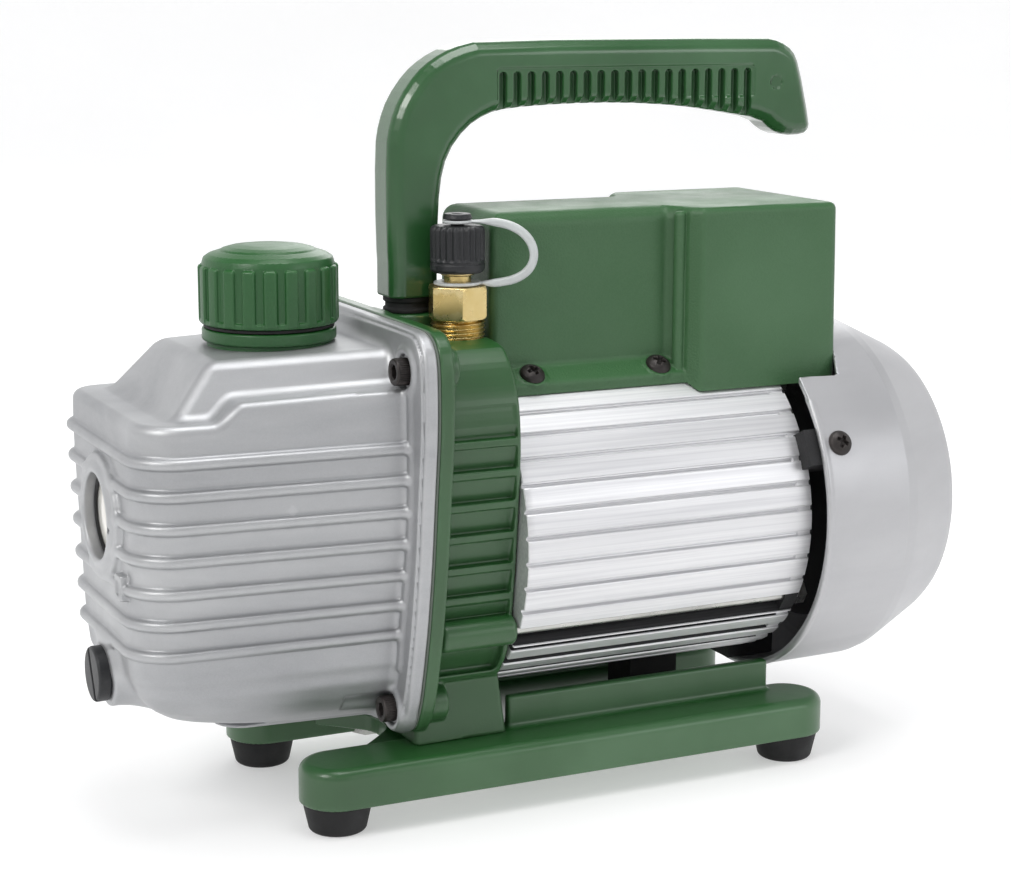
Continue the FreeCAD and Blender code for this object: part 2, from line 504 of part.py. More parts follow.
# flexible coupling: two jaws hubs as one clamped sleeve
save("shaft_coupling", ring_x(34.0, 43.6, 5.0, 10.5).cut(ring_x(38.6, 39.2, 7.0, 12.0)))

# ------------------------------------------------------------------- motor
shaft = fuse(cx(37.8, 44.6, 0, AX_Z, 5.0), cx(44.6, 75.0, 0, AX_Z, 6.0), cx(75.0, 130.0, 0, AX_Z, 8.0),
             cx(130.0, 165.0, 0, AX_Z, 6.0), cx(165.0, 206.0, 0, AX_Z, 5.0))
save("motor_shaft", shaft)
rotor = ring_x(75.0, 130.0, 8.0, 23.6)
rotor = fuse(rotor, ring_x(70.0, 75.0, 15.0, 22.5), ring_x(130.0, 135.0, 15.0, 22.5))
save("motor_rotor", rotor)
core = ring_x(75.0, 130.0, 24.0, 43.98)
save("stator_core", core)
w = revx([(64.0, 30), (66.0, 27.5), (75.0, 27.5), (75.0, 40.0), (67.0, 40.0), (64.0, 37.5)])
w2 = revx([(130.0, 27.5), (139.0, 27.5), (141.0, 30), (141.0, 37.5), (138.0, 40.0), (130.0, 40.0)])
save("stator_windings", group([w, w2]))
# extruded housing: broad fins, narrow grooves and four bolt channels
NF, TB_R = 40, 49.2
CH = (-32, 212, 58, 122)
prof = []
for i in range(NF):
    a0 = 360.0 / NF * i + 4.2
    rf, rg = (MOT_R, 51.4) if math.sin(math.radians(a0)) > -0.42 else (MOT_R, 49.4)
    for da, r in ((0.0, rg), (0.05, rf), (6.6, rf), (6.65, rg), (8.95, rg)):
        a = math.radians(a0 + da)
        prof.append((r * math.cos(a), AX_Z + r * math.sin(a)))
hous = pyz(prof, MOT_X0, MOT_X1).cut(cx(MOT_X0 - 1, MOT_X1 + 1, 0, AX_Z, 44.0))
for a in CH:
    ch = box(MOT_X0 - 1, 46.4, -2.7, MOT_X1 + 1, 60, 2.7)
    ch.rotate(V(0, 0, 0), X, a)
    ch.translate(V(0, 0, AX_Z))
    hous = hous.cut(ch)
TB = [(a, TB_R * math.cos(math.radians(a)), AX_Z + TB_R * math.sin(math.radians(a))) for a in CH]
# the front register of the bracket takes the housing end; a wire hole opens to the box
hous = hous.cut(cz(110, 0, 128, 160, 6.0))
sh = revx([(150.0, 16.0), (150.0, 20.0), (156.0, 22.0), (156.0, 52.0), (161.0, 52.0), (161.0, 22.0), (166.0, 19.0),
           (166.0, 8.0), (160.2, 8.0), (160.2, 16.0)])
LUG = (25.7, 154.3, 270.0)
for a in LUG:
    l = box(158.0, 48.0, -6.0, 176.0, 58.4, 6.0)
    l.rotate(V(0, 0, 0), X, a)
    l.translate(V(0, 0, AX_Z))
    sh = sh.fuse(l)
for a in LUG:
    ca, sa = math.cos(math.radians(a)), math.sin(math.radians(a))
    sh = sh.cut(cyl((169.1, 50 * ca, AX_Z + 50 * sa), (0, ca, sa), 20, 1.9))
for a, ty, tz in TB:
    sh = sh.cut(cx(150, 163, ty, tz, 2.2))
save("rear_end_shield", sh.removeSplitter())
tb = []
for a, ty, tz in TB:
    tb.append(fuse(cx(50.5, 161.0, ty, tz, 2.1), hexx(161.0, 164.0, ty, tz, 7.0)))
save("motor_tie_bolts", group(tb))
# the bracket takes the tie bolts
for a, ty, tz in TB:
    br = br.cut(cx(48.0, 60.0, ty, tz, 2.2))
save("pump_bracket", tidy(br))
save("bearing_outer_rings", group([ring_x(44.6, 54.6, 12.6, 16.0), ring_x(150.2, 160.2, 12.6, 16.0)]))
save("bearing_inner_rings", group([ring_x(44.6, 54.6, 6.0, 9.2), ring_x(150.2, 160.2, 6.0, 9.2)]))
balls = []
for bx in (49.6, 155.2):
    for i in range(8):
        a = math.radians(45 * i)
        balls.append(Part.makeSphere(1.66, V(bx, 10.9 * math.cos(a), AX_Z + 10.9 * math.sin(a))))
save("bearing_balls", group(balls))
fan = fuse(ring_x(186.0, 202.0, 5.0, 12.0), ring_x(186.0, 187.8, 11.0, 46.0))
for i in range(9):
    b = box(187.0, -0.9, 11.0, 202.0, 0.9, 46.0)
    b.rotate(V(0, 0, 0), X, 40 * i)
    b.translate(V(0, 0, AX_Z))
    fan = fan.fuse(b)
save("cooling_fan", fan.removeSplitter())
save("motor_rest_pad", box(PADX0, -8, 20.5, PADX1, 8, 34).cut(cx(100, 150, 0, AX_Z, MOT_R + 0.02)).cut(cz(127, 0, 15, 27, 2.6)))
save("pad_screw", fuse(cz(127, 0, 11.0, 14.5, 4.5), cz(127, 0, 14.5, 26.5, 2.5)))

# --------------------------------------------------------------- fan cover
prof_o = [(COV_X0, COV_R), (194.0, 60.4), (197.5, 59.6), (200.5, 58.2), (217.0, 50.3), (219.6, 48.6), (221.0, 46.4), (X_TAIL, 43.5)]
t = COV_T
prof_i = [(X_TAIL - t, 43.0), (219.4, 45.6), (217.8, 47.4), (199.6, 56.5), (197.0, 57.9), (193.6, 58.6), (COV_X0, COV_R - t)]
cov = revx(prof_o + [(X_TAIL, 0), (X_TAIL - t, 0)] + prof_i)
# square notch at the top that clears the electrical box
cov = cov.cut(box(COV_X0 - 1, -BX_H2 - 0.6, AX_Z + 30, BX_X2 + 0.6, BX_H2 + 0.6, AX_Z + 70))
for i in range(24):
    s = box(215, -1.7, 14.0, 225, 1.7, 40.0)
    s.rotate(V(0, 0, 0), X, 15 * i)
    s.translate(V(0, 0, AX_Z))
    cov = cov.cut(s)
covs = []
for a in LUG:
    ca, sa = math.cos(math.radians(a)), math.sin(math.radians(a))
    cov = cov.cut(cyl((169.1, 50 * ca, AX_Z + 50 * sa), (0, ca, sa), 20, 2.3))
    s = fuse(cyl((169.1, 51 * ca, AX_Z + 51 * sa), (0, ca, sa), 10.0, 1.9),
             cyl((169.1, 60.85 * ca, AX_Z + 60.85 * sa), (0, ca, sa), 2.6, 4.2))
    covs.append(s)
save("fan_cover", cov)
save("fan_cover_screws", group(covs))

# ---------------------------------------------------------- electrical box
def boxplan(ins, z0, z1):
    x0, x1, x2, a, b = BX_X0 + ins, BX_X1 + ins, BX_X2 - ins, BX_H1 - ins, BX_H2 - ins
    p = [(x0, -a), (x1 - 3, -a), (x1, -a - 3.0), (x1 + 1.2, -b + 4.0), (x1 + 4.5, -b), (x2, -b),
         (x2, b), (x1 + 4.5, b), (x1 + 1.2, b - 4.0), (x1, a + 3.0), (x1 - 3, a), (x0, a)]
    return pxy(p, z0, z1)
eb = boxplan(0, 126.5, BX_TOP)
eb = fillet(eb, 3.0, lambda e: abs(e.BoundBox.ZMax - e.BoundBox.ZMin) > 50 and (e.BoundBox.XMax < BX_X0 + 1 or e.BoundBox.XMin > BX_X2 - 1))
eb = fillet(eb, 2.0, lambda e: e.BoundBox.ZMin > BX_TOP - 0.01)
ledge = pyz(sym([(0, 139.6), (21, 139.6), (27.5, 131.2), (27.5, 128.0), (0, 128.0)]), 61.0, 128.0)
eb = eb.fuse(ledge)
eb = eb.cut(boxplan(BX_T, 141.5, BX_TOP - BX_T))
eb = eb.cut(cx(50, 190, 0, AX_Z, MOT_R + 0.5))
eb = eb.cut(boxplan(BX_T, 120, 142).common(box(132, -60, 120, 179, 60, 150)))
eb = eb.cut(boxplan(BX_T, 120, 142).common(box(63, -17.5, 120, 132, 17.5, 150)))
eb = eb.cut(cx(156.5, 190, 0, AX_Z, 54.0))
BSC = [(71.9, -24.2), (117.7, -24.2), (71.9, 24.2), (117.7, 24.2)]
nrm = V(0, 8.4, 6.5).normalize()
bs = []
for bx, by in BSC:
    s = 1 if by > 0 else -1
    n = V(0, s * nrm.y, nrm.z)
    p = V(bx, by, 139.6 - (abs(by) - 21) * 8.4 / 6.5)
    eb = eb.cut(Part.makeCylinder(2.1, 14, p - n * 8, n))
    hous_in = p - n * 7.0
    sc = fuse(Part.makeCylinder(1.9, 7.6, hous_in, n), Part.makeCone(4.2, 2.6, 2.4, p, n))
    bs.append(sc)
# openings: rear face inlet and switch
INL = (-27.5 + 13.5, 163.0)
INLY, INLZ = 13.0, 170.0
SWY, SWZ = -15.0, 170.0
eb = eb.cut(box(BX_X2 - 5, INLY - 14.1, INLZ - 10.1, BX_X2 + 2, INLY + 14.1, INLZ + 10.1))
eb = eb.cut(box(BX_X2 - 5, SWY - 10.6, SWZ - 7.1, BX_X2 + 2, SWY + 10.6, SWZ + 7.1))
save("electrical_box", eb.removeSplitter())
save("box_screws", group(bs))
hs = hous
for q in bs:
    hs = hs.cut(q)
save("motor_housing", hs.removeSplitter())
# power inlet: flange, body, recess and three flat pins
pi = fuse(box(BX_X2, INLY - 15.5, INLZ - 11.8, BX_X2 + 2.4, INLY + 15.5, INLZ + 11.8),
          box(BX_X2 - 22, INLY - 13.9, INLZ - 9.9, BX_X2 + 0.5, INLY + 13.9, INLZ + 9.9))
rec = pyz([(INLY - 12, INLZ - 8), (INLY + 12, INLZ - 8), (INLY + 12, INLZ + 4), (INLY + 8, INLZ + 8), (INLY - 8, INLZ + 8), (INLY - 12, INLZ + 4)],
          BX_X2 - 15.0, BX_X2 + 5)
pi = pi.cut(rec)
pins = [box(BX_X2 - 26, INLY + dy - 1.0, INLZ + dz - 2.0, BX_X2 - 2.0, INLY + dy + 1.0, INLZ + dz + 2.0) for dy, dz in ((-7, -3), (7, -3), (0, 3))]
pi2 = pi
for q in pins:
    pi2 = pi2.cut(q)
save("power_inlet", group([pi2] + pins))
# rocker switch
sw = fuse(box(BX_X2, SWY - 12.0, SWZ - 8.5, BX_X2 + 1.6, SWY + 12.0, SWZ + 8.5),
          box(BX_X2 - 16, SWY - 10.4, SWZ - 6.9, BX_X2 + 0.5, SWY + 10.4, SWZ + 6.9))
sw = sw.cut(box(BX_X2 - 9, SWY - 9.2, SWZ - 5.6, BX_X2 + 3, SWY + 9.2, SWZ + 5.6))
sw = sw.cut(cyl((BX_X2 - 3.0, SWY, SWZ - 6.8), (0, 0, 1), 13.6, 1.05))
save("switch_housing", sw)
SWX = BX_X2 - 3.0
rk = pxy([(SWX + a, SWY + b) for a, b in ((-3.0, -4.0), (2.4, -7.6), (6.2, -7.0), (4.4, 0.0), (3.2, 7.4), (0.9, 7.6), (-3.0, 4.0))],
         SWZ - 5.2, SWZ + 5.2)
rk = rk.fuse(cyl((SWX, SWY, SWZ - 6.6), (0, 0, 1), 13.2, 1.0))
save("switch_rocker", rk)
save("run_capacitor", fuse(cx(72.0, 116.0, 0, 163.0, 14.0), cx(116.0, 119.0, 0, 163.0, 6.0)))
save("terminal_block", box(134.0, -14.0, 141.6, 146.0, 14.0, 152.0))
print("done")
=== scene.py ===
import json
import math
import time

import bmesh
import bpy
import numpy as np
from mathutils import Matrix, Vector


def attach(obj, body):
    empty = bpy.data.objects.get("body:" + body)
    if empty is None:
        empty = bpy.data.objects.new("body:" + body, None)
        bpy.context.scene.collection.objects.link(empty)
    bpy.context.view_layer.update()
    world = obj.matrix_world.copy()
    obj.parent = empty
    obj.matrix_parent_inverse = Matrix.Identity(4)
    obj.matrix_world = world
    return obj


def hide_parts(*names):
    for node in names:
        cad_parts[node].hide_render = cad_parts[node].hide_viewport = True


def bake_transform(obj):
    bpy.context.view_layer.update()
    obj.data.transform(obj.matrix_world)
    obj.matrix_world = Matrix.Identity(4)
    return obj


T0 = time.time()
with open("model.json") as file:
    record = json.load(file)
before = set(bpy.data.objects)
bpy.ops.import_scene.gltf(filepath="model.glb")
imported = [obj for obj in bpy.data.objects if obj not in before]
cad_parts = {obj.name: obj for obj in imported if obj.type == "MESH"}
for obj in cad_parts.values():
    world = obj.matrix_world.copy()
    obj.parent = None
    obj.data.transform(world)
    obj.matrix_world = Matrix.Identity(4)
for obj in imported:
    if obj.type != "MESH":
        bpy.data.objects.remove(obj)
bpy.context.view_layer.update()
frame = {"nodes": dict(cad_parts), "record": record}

# Shapes are written in a working frame in millimetres (x = 0 above the front
# feet, z = 0 the floor); XC brings x to the row frame's centre.
XC = 77.2
AXZ = 85.5


# ----------------------------------------------------------- distance fields
# Every field takes X, Y, Z that broadcast together, and returns millimetres,
# negative inside.
def rmax(a, b, r):
    """Intersection with an edge rounded by r."""
    if np.isscalar(r) and r <= 0:
        return np.maximum(a, b)
    return np.minimum(np.maximum(a, b), -r) + np.sqrt(np.maximum(a + r, 0) ** 2 + np.maximum(b + r, 0) ** 2)


def rmin(a, b, r):
    """Union with a fillet of radius r."""
    if np.isscalar(r) and r <= 0:
        return np.minimum(a, b)
    return np.maximum(np.minimum(a, b), r) - np.sqrt(np.maximum(r - a, 0) ** 2 + np.maximum(r - b, 0) ** 2)


def rcut(a, b, r=0.0):
    """a without b."""
    return rmax(a, -b, r)


def slab(U, lo, hi):
    return np.abs(U - (lo + hi) / 2.0) - (hi - lo) / 2.0


def bx(X, Y, Z, x0, y0, z0, x1, y1, z1, r=0.0):
    return rmax(rmax(slab(X, x0, x1), slab(Y, y0, y1), r), slab(Z, z0, z1), r)


def cyx(X, Y, Z, x0, x1, y, z, r, e=0.0):
    return rmax(np.sqrt((Y - y) ** 2 + (Z - z) ** 2) - r, slab(X, x0, x1), e)


def cyz(X, Y, Z, x, y, z0, z1, r, e=0.0):
    return rmax(np.sqrt((X - x) ** 2 + (Y - y) ** 2) - r, slab(Z, z0, z1), e)


def poly2(U, V, pts):
    """Signed distance to a closed polygon in the plane of U and V."""
    pts = np.asarray(pts, float)
    U, V = np.broadcast_arrays(U, V)
    U = U.astype(np.float32)
    V = V.astype(np.float32)
    d = np.full(U.shape, 1e12, np.float32)
    s = np.ones(U.shape, np.float32)
    n = len(pts)
    for i in range(n):
        ax, ay = pts[i]
        bx_, by_ = pts[i - 1]
        ex, ey = bx_ - ax, by_ - ay
        wx, wy = U - ax, V - ay
        t = np.clip((wx * ex + wy * ey) / (ex * ex + ey * ey + 1e-12), 0, 1)
        d = np.minimum(d, (wx - ex * t) ** 2 + (wy - ey * t) ** 2)
        c1, c2, c3 = V >= ay, V < by_, ex * wy > ey * wx
        s = np.where((c1 & c2 & c3) | (~c1 & ~c2 & ~c3), -s, s)
    return s * np.sqrt(d)


def sym(half):
    return list(half) + [(-y, z) for y, z in reversed(half) if y > 1e-6]


def chaikin(pts, n=2):
    """A closed polygon with its corners cut n times."""
    for _ in range(n):
        out = []
        for i in range(len(pts)):
            a, b = pts[i], pts[(i + 1) % len(pts)]
            out.append((a[0] * 0.75 + b[0] * 0.25, a[1] * 0.75 + b[1] * 0.25))
            out.append((a[0] * 0.25 + b[0] * 0.75, a[1] * 0.25 + b[1] * 0.75))
        pts = out
    return pts


def sstep(t):
    t = np.clip(t, 0, 1)
    return t * t * (3 - 2 * t)


class Curve1:
    """A smooth lookup from a table, with its slope."""

    def __init__(self, xs, ys, sigma=1.0):
        xs, ys = np.asarray(xs, float), np.asarray(ys, float)
        lo, hi, h = xs[0] - 25, xs[-1] + 25, 0.1
        self.g = np.arange(lo, hi, h)
        v = np.interp(self.g, xs, ys)
        k = np.exp(-0.5 * (np.arange(-60, 61) * h / sigma) ** 2) if sigma > 0 else np.ones(1)
        k /= k.sum()
        pad = len(k) // 2
        self.v = np.convolve(np.pad(v, pad, mode="edge"), k, mode="valid")
        self.d = np.gradient(self.v, h)

    def __call__(self, t):
        return np.interp(t, self.g, self.v)

    def slope(self, t):
        return np.interp(t, self.g, self.d)


# ------------------------------------------------------------- surface nets
CORN = [(0, 0, 0), (1, 0, 0), (0, 1, 0), (1, 1, 0), (0, 0, 1), (1, 0, 1), (0, 1, 1), (1, 1, 1)]
EDGE = [(0, 1), (2, 3), (4, 5), (6, 7), (0, 2), (1, 3), (4, 6), (5, 7), (0, 4), (1, 5), (2, 6), (3, 7)]


def field_grad(f, P, e):
    g = np.empty_like(P)
    for i in range(3):
        d = np.zeros(3)
        d[i] = e
        a, b = P + d, P - d
        g[:, i] = (f(a[:, 0], a[:, 1], a[:, 2]) - f(b[:, 0], b[:, 1], b[:, 2])) / (2 * e)
    return g


def nets(f, lo, hi, h):
    """Vertices and quads of the zero surface of f in the box lo..hi, cell h."""
    ax = [np.arange(lo[i] - h * 1.37, hi[i] + h * 2.2, h) for i in range(3)]
    F = f(ax[0][:, None, None], ax[1][None, :, None], ax[2][None, None, :])
    F = np.ascontiguousarray(np.broadcast_to(F, [len(a) for a in ax])).astype(np.float32)
    S = F < 0
    c = np.zeros([n - 1 for n in S.shape], np.int8)
    for a, b, d in CORN:
        c += S[a:S.shape[0] - 1 + a, b:S.shape[1] - 1 + b, d:S.shape[2] - 1 + d]
    act = (c > 0) & (c < 8)
    I, J, K = np.nonzero(act)
    n = len(I)
    idx = np.full(act.shape, -1, np.int32)
    idx[I, J, K] = np.arange(n)
    P, C = np.zeros((n, 3)), np.zeros(n)
    vals = [F[I + a, J + b, K + d] for a, b, d in CORN]
    for p, q in EDGE:
        fa, fb = vals[p], vals[q]
        m = (fa < 0) != (fb < 0)
        t = fa[m] / (fa[m] - fb[m])
        a, b = np.array(CORN[p], float), np.array(CORN[q], float)
        P[m] += a + t[:, None] * (b - a)
        C[m] += 1
    P = (P / C[:, None] + np.stack([I, J, K], 1)) * h + np.array([a[0] for a in ax])
    quads = []
    for axis in range(3):
        sh = list(S.shape)
        sl0 = [slice(1, sh[i] - 1) for i in range(3)]
        sl1 = [slice(1, sh[i] - 1) for i in range(3)]
        sl0[axis] = slice(0, sh[axis] - 1)
        sl1[axis] = slice(1, sh[axis])
        A, B = S[tuple(sl0)], S[tuple(sl1)]
        for inside in (True, False):
            m = (A & ~B) if inside else (~A & B)
            i, j, k = np.nonzero(m)
            o = [i, j, k]
            for q in range(3):
                if q != axis:
                    o[q] = o[q] + 1
            u, v = [(1, 2), (2, 0), (0, 1)][axis]
            def cell(du, dv):
                w = [o[0].copy(), o[1].copy(), o[2].copy()]
                w[u] = w[u] - du
                w[v] = w[v] - dv
                return idx[w[0], w[1], w[2]]
            ring = [cell(1, 1), cell(0, 1), cell(0, 0), cell(1, 0)]
            if not inside:
                ring = ring[::-1]
            quads.append(np.stack(ring, 1))
    return P, np.concatenate(quads)


def settle(f, P, h, times=3, e=0.02):
    """Moves points onto the zero surface and returns their normals too."""
    start = P.copy()
    for _ in range(times):
        v = f(P[:, 0], P[:, 1], P[:, 2])
        g = field_grad(f, P, e)
        s = (v / np.maximum((g ** 2).sum(1), 0.05))[:, None] * g
        ln = np.linalg.norm(s, axis=1, keepdims=True)
        s *= np.minimum(1, 0.5 * h / np.maximum(ln, 1e-9))
        P = P - s
    off = P - start
    ln = np.linalg.norm(off, axis=1, keepdims=True)
    return start + off * np.minimum(1, 0.8 * h / np.maximum(ln, 1e-9))


def to_row(P):
    return (P - np.array([XC, 0, 0])) * 0.001


def from_row(P):
    return P * 1000.0 + np.array([XC, 0, 0])


def mesh_from(name, V, F):
    me = bpy.data.meshes.new(name)
    me.vertices.add(len(V))
    me.vertices.foreach_set("co", np.ascontiguousarray(V, np.float32).ravel())
    F = np.ascontiguousarray(F, np.int32)
    k = F.shape[1]
    me.loops.add(F.size)
    me.loops.foreach_set("vertex_index", F.ravel())
    me.polygons.add(len(F))
    me.polygons.foreach_set("loop_start", np.arange(0, F.size, k, dtype=np.int32))
    me.update(calc_edges=True)
    me.validate()
    return me


def add_object(name, me, mats=()):
    o = bpy.data.objects.new(name, me)
    bpy.context.scene.collection.objects.link(o)
    for m in mats:
        me.materials.append(m)
    return o


def smooth_all(me):
    me.polygons.foreach_set("use_smooth", np.ones(len(me.polygons), bool))


def sdf_piece(name, f, lo, hi, h, mat, body, keep=0.5, stand_for=(), max_faces=180000):
    """Builds the zero surface of f as one piece with normals from the field."""
    t = time.time()
    P, Q = nets(f, lo, hi, h)
    P = settle(f, P, h)
    me = mesh_from(name, to_row(P), Q)
    o = add_object(name, me)
    if keep < 1.0:
        o.modifiers.new("Thin", "DECIMATE").ratio = keep
        dg = bpy.context.evaluated_depsgraph_get()
        new = bpy.data.meshes.new_from_object(o.evaluated_get(dg))
        o.modifiers.clear()
        o.data = new
        bpy.data.meshes.remove(me)
        me = new
        me.name = name
    n = len(me.vertices)
    co = np.empty(n * 3, np.float32)
    me.vertices.foreach_get("co", co)
    P = from_row(co.reshape(-1, 3).astype(float))
    P = settle(f, P, h, times=2)
    g = field_grad(f, P, max(0.04, h * 0.12))
    g /= np.maximum(np.linalg.norm(g, axis=1, keepdims=True), 1e-9)
    me.vertices.foreach_set("co", to_row(P).astype(np.float32).ravel())
    me.update()
    smooth_all(me)
    me.normals_split_custom_set_from_vertices(g.astype(np.float32).tolist())
    me.materials.clear()
    me.materials.append(mat)
    finish_piece(o, body, stand_for)
    print("%-22s %7d faces %5.1f s" % (name, len(me.polygons), time.time() - t))
    return o


def finish_piece(o, body, stand_for=()):
    if body:
        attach(o, body)
    if stand_for:
        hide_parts(*stand_for)
    return o


# ---------------------------------------------------------------- materials
def srgb(r, g, b):
    def f(c):
        c /= 255.0
        return c / 12.92 if c <= 0.04045 else ((c + 0.055) / 1.055) ** 2.4
    return (f(r), f(g), f(b), 1.0)


class Mat:
    """A small helper that wires a procedural Principled material."""

    def __init__(self, name):
        self.m = bpy.data.materials.new(name)
        self.m.use_nodes = True
        self.t = self.m.node_tree
        self.n = self.t.nodes
        self.l = self.t.links
        self.p = self.n["Principled BSDF"]
        self.co = self.n.new("ShaderNodeTexCoord").outputs["Object"]

    def map(self, scale=(1, 1, 1), rot=(0, 0, 0)):
        m = self.n.new("ShaderNodeMapping")
        m.inputs["Scale"].default_value = scale
        m.inputs["Rotation"].default_value = rot
        self.l.new(self.co, m.inputs["Vector"])
        return m.outputs["Vector"]

    def noise(self, scale, detail=3.0, rough=0.5, vec=None, dist=0.0):
        n = self.n.new("ShaderNodeTexNoise")
        n.inputs["Scale"].default_value = scale
        n.inputs["Detail"].default_value = detail
        n.inputs["Roughness"].default_value = rough
        n.inputs["Distortion"].default_value = dist
        self.l.new(vec or self.co, n.inputs["Vector"])
        return n.outputs["Fac"]

    def voronoi(self, scale, feature="F1", vec=None, out="Distance"):
        n = self.n.new("ShaderNodeTexVoronoi")
        n.feature = feature
        n.inputs["Scale"].default_value = scale
        self.l.new(vec or self.co, n.inputs["Vector"])
        return n.outputs[out]

    def ramp(self, fac, stops):
        r = self.n.new("ShaderNodeValToRGB")
        e = r.color_ramp.elements
        while len(e) < len(stops):
            e.new(0.5)
        for i, (p, c) in enumerate(stops):
            e[i].position = p
            e[i].color = c if len(c) == 4 else (*c, 1.0)
        self.l.new(fac, r.inputs["Fac"])
        return r.outputs["Color"]

    def mix(self, fac, a, b, mode="MIX"):
        m = self.n.new("ShaderNodeMix")
        m.data_type = "RGBA"
        m.blend_type = mode
        for sock, v in ((m.inputs[0], fac), (m.inputs[6], a), (m.inputs[7], b)):
            if hasattr(v, "links") or isinstance(v, bpy.types.NodeSocket):
                self.l.new(v, sock)
            else:
                sock.default_value = v
        return m.outputs[2]

    def range(self, v, a, b, lo, hi):
        m = self.n.new("ShaderNodeMapRange")
        m.inputs["From Min"].default_value = a
        m.inputs["From Max"].default_value = b
        m.inputs["To Min"].default_value = lo
        m.inputs["To Max"].default_value = hi
        self.l.new(v, m.inputs["Value"])
        return m.outputs["Result"]

    def math(self, op, a, b):
        m = self.n.new("ShaderNodeMath")
        m.operation = op
        for i, v in enumerate((a, b)):
            if isinstance(v, bpy.types.NodeSocket):
                self.l.new(v, m.inputs[i])
            else:
                m.inputs[i].default_value = v
        return m.outputs[0]

    def wear(self, a=0.5, b=0.56):
        """0 on flats, 1 along convex edges."""
        g = self.n.new("ShaderNodeNewGeometry")
        return self.range(g.outputs["Pointiness"], a, b, 0.0, 1.0)

    def crease_shade_mask(self, a=0.44, b=0.5):
        """1 in concave corners, 0 on flats; the mask for painted shade in corners."""
        g = self.n.new("ShaderNodeNewGeometry")
        return self.range(g.outputs["Pointiness"], a, b, 1.0, 0.0)

    def top_shade_mask(self, lo=0.35, hi=0.95):
        """1 on surfaces that face up, 0 on walls; the mask for painted shade on tops."""
        g = self.n.new("ShaderNodeNewGeometry")
        s = self.n.new("ShaderNodeSeparateXYZ")
        self.l.new(g.outputs["Normal"], s.inputs[0])
        return self.range(s.outputs["Z"], lo, hi, 0.0, 1.0)

    def bump(self, height, strength=0.3, dist=0.0002, normal=None):
        b = self.n.new("ShaderNodeBump")
        b.inputs["Strength"].default_value = strength
        b.inputs["Distance"].default_value = dist
        self.l.new(height, b.inputs["Height"])
        if normal is not None:
            self.l.new(normal, b.inputs["Normal"])
        return b.outputs["Normal"]

    def set(self, color=None, rough=None, normal=None, metal=None, **fixed):
        for key, v in (("Base Color", color), ("Roughness", rough), ("Normal", normal), ("Metallic", metal)):
            if v is None:
                continue
            s = self.p.inputs[key]
            if isinstance(v, bpy.types.NodeSocket):
                self.l.new(v, s)
            else:
                s.default_value = v
        for k, v in fixed.items():
            self.p.inputs[k.replace("_", " ")].default_value = v
        return self.m


def painted(name, base, deep, light, rough=(0.32, 0.48), grain=900.0, grain_h=0.00006, cloud=9.0, wear_amt=0.35, coat=0.25, orange=260.0):
    """Sprayed enamel: slow colour drift, orange peel, fine grain and paler edges."""
    k = Mat(name)
    drift = k.noise(cloud, 4, 0.55)
    col = k.ramp(drift, [(0.30, deep), (0.52, base), (0.78, light)])
    edge = k.math("MULTIPLY", k.wear(0.505, 0.56), k.range(k.noise(120, 4, 0.65), 0.35, 0.7, 0.1, 1.0))
    col = k.mix(k.math("MULTIPLY", edge, wear_amt), col, light)
    # Painted shade: concave corners are darkened toward the deep colour.
    col = k.mix(k.math("MULTIPLY", k.crease_shade_mask(0.43, 0.495), 0.35), col, deep)
    # Painted shade: green faces that look up are pushed to a deeper green, against the white sky's reflection.
    if name.startswith("green"):
        col = k.mix(k.math("MULTIPLY", k.top_shade_mask(), 0.7), col, srgb(22, 84, 28))
    r = k.range(k.noise(34, 5, 0.6), 0.3, 0.7, *rough)
    n1 = k.bump(k.noise(orange, 2, 0.4), 0.35, 0.00005)
    n2 = k.bump(k.noise(grain, 3, 0.6), 0.5, grain_h, n1)
    return k.set(col, r, n2, Coat_Weight=coat, Coat_Roughness=0.22, Specular_IOR_Level=0.5)


def grained(name, base, deep, light, rough=(0.4, 0.56), cell=1500.0, h=0.00012):
    """Moulded plastic with a fine spark-eroded grain."""
    k = Mat(name)
    col = k.ramp(k.noise(7.0, 3, 0.5), [(0.3, deep), (0.52, base), (0.8, light)])
    speck = k.range(k.voronoi(cell), 0.0, 0.8, 0.0, 1.0)
    col = k.mix(k.math("MULTIPLY", speck, 0.12), col, light)
    col = k.mix(k.math("MULTIPLY", k.wear(0.505, 0.57), 0.28), col, light)
    # Painted shade: plastic faces that look up are pushed to a deeper green, against the white sky's reflection.
    if name in ("green_plastic", "cap_plastic"):
        col = k.mix(k.math("MULTIPLY", k.top_shade_mask(), 0.7), col, srgb(20, 88, 26))
    r = k.range(k.noise(60, 4, 0.6), 0.3, 0.7, *rough)
    n1 = k.bump(k.voronoi(cell), 0.55, h)
    n2 = k.bump(k.noise(cell * 0.55, 3, 0.7), 0.45, h, n1)
    return k.set(col, r, n2, Specular_IOR_Level=0.5)


def cast(name, base, deep, light, rough=(0.30, 0.44), metal=0.75):
    """Silver paint over a die casting: fine sparkle, faint flow marks, painted shade in concave corners."""
    k = Mat(name)
    flow = k.noise(14, 5, 0.6, k.map((0.35, 1, 1.6)), 0.6)
    col = k.ramp(flow, [(0.28, deep), (0.5, base), (0.8, light)])
    fleck = k.range(k.voronoi(2600.0, out="Color"), 0.0, 1.0, 0.0, 1.0)
    col = k.mix(k.math("MULTIPLY", fleck, 0.16), col, light)
    # Painted shade: concave corners are darkened toward the deep colour.
    col = k.mix(k.math("MULTIPLY", k.crease_shade_mask(0.42, 0.495), 0.45), col, deep)
    col = k.mix(k.math("MULTIPLY", k.wear(0.505, 0.57), 0.35), col, light)
    r = k.range(k.noise(45, 5, 0.65), 0.3, 0.72, *rough)
    n1 = k.bump(k.noise(520, 3, 0.6), 0.3, 0.00005)
    n2 = k.bump(k.noise(2100, 2, 0.5), 0.45, 0.00004, n1)
    return k.set(col, r, n2, metal, Specular_IOR_Level=0.5)


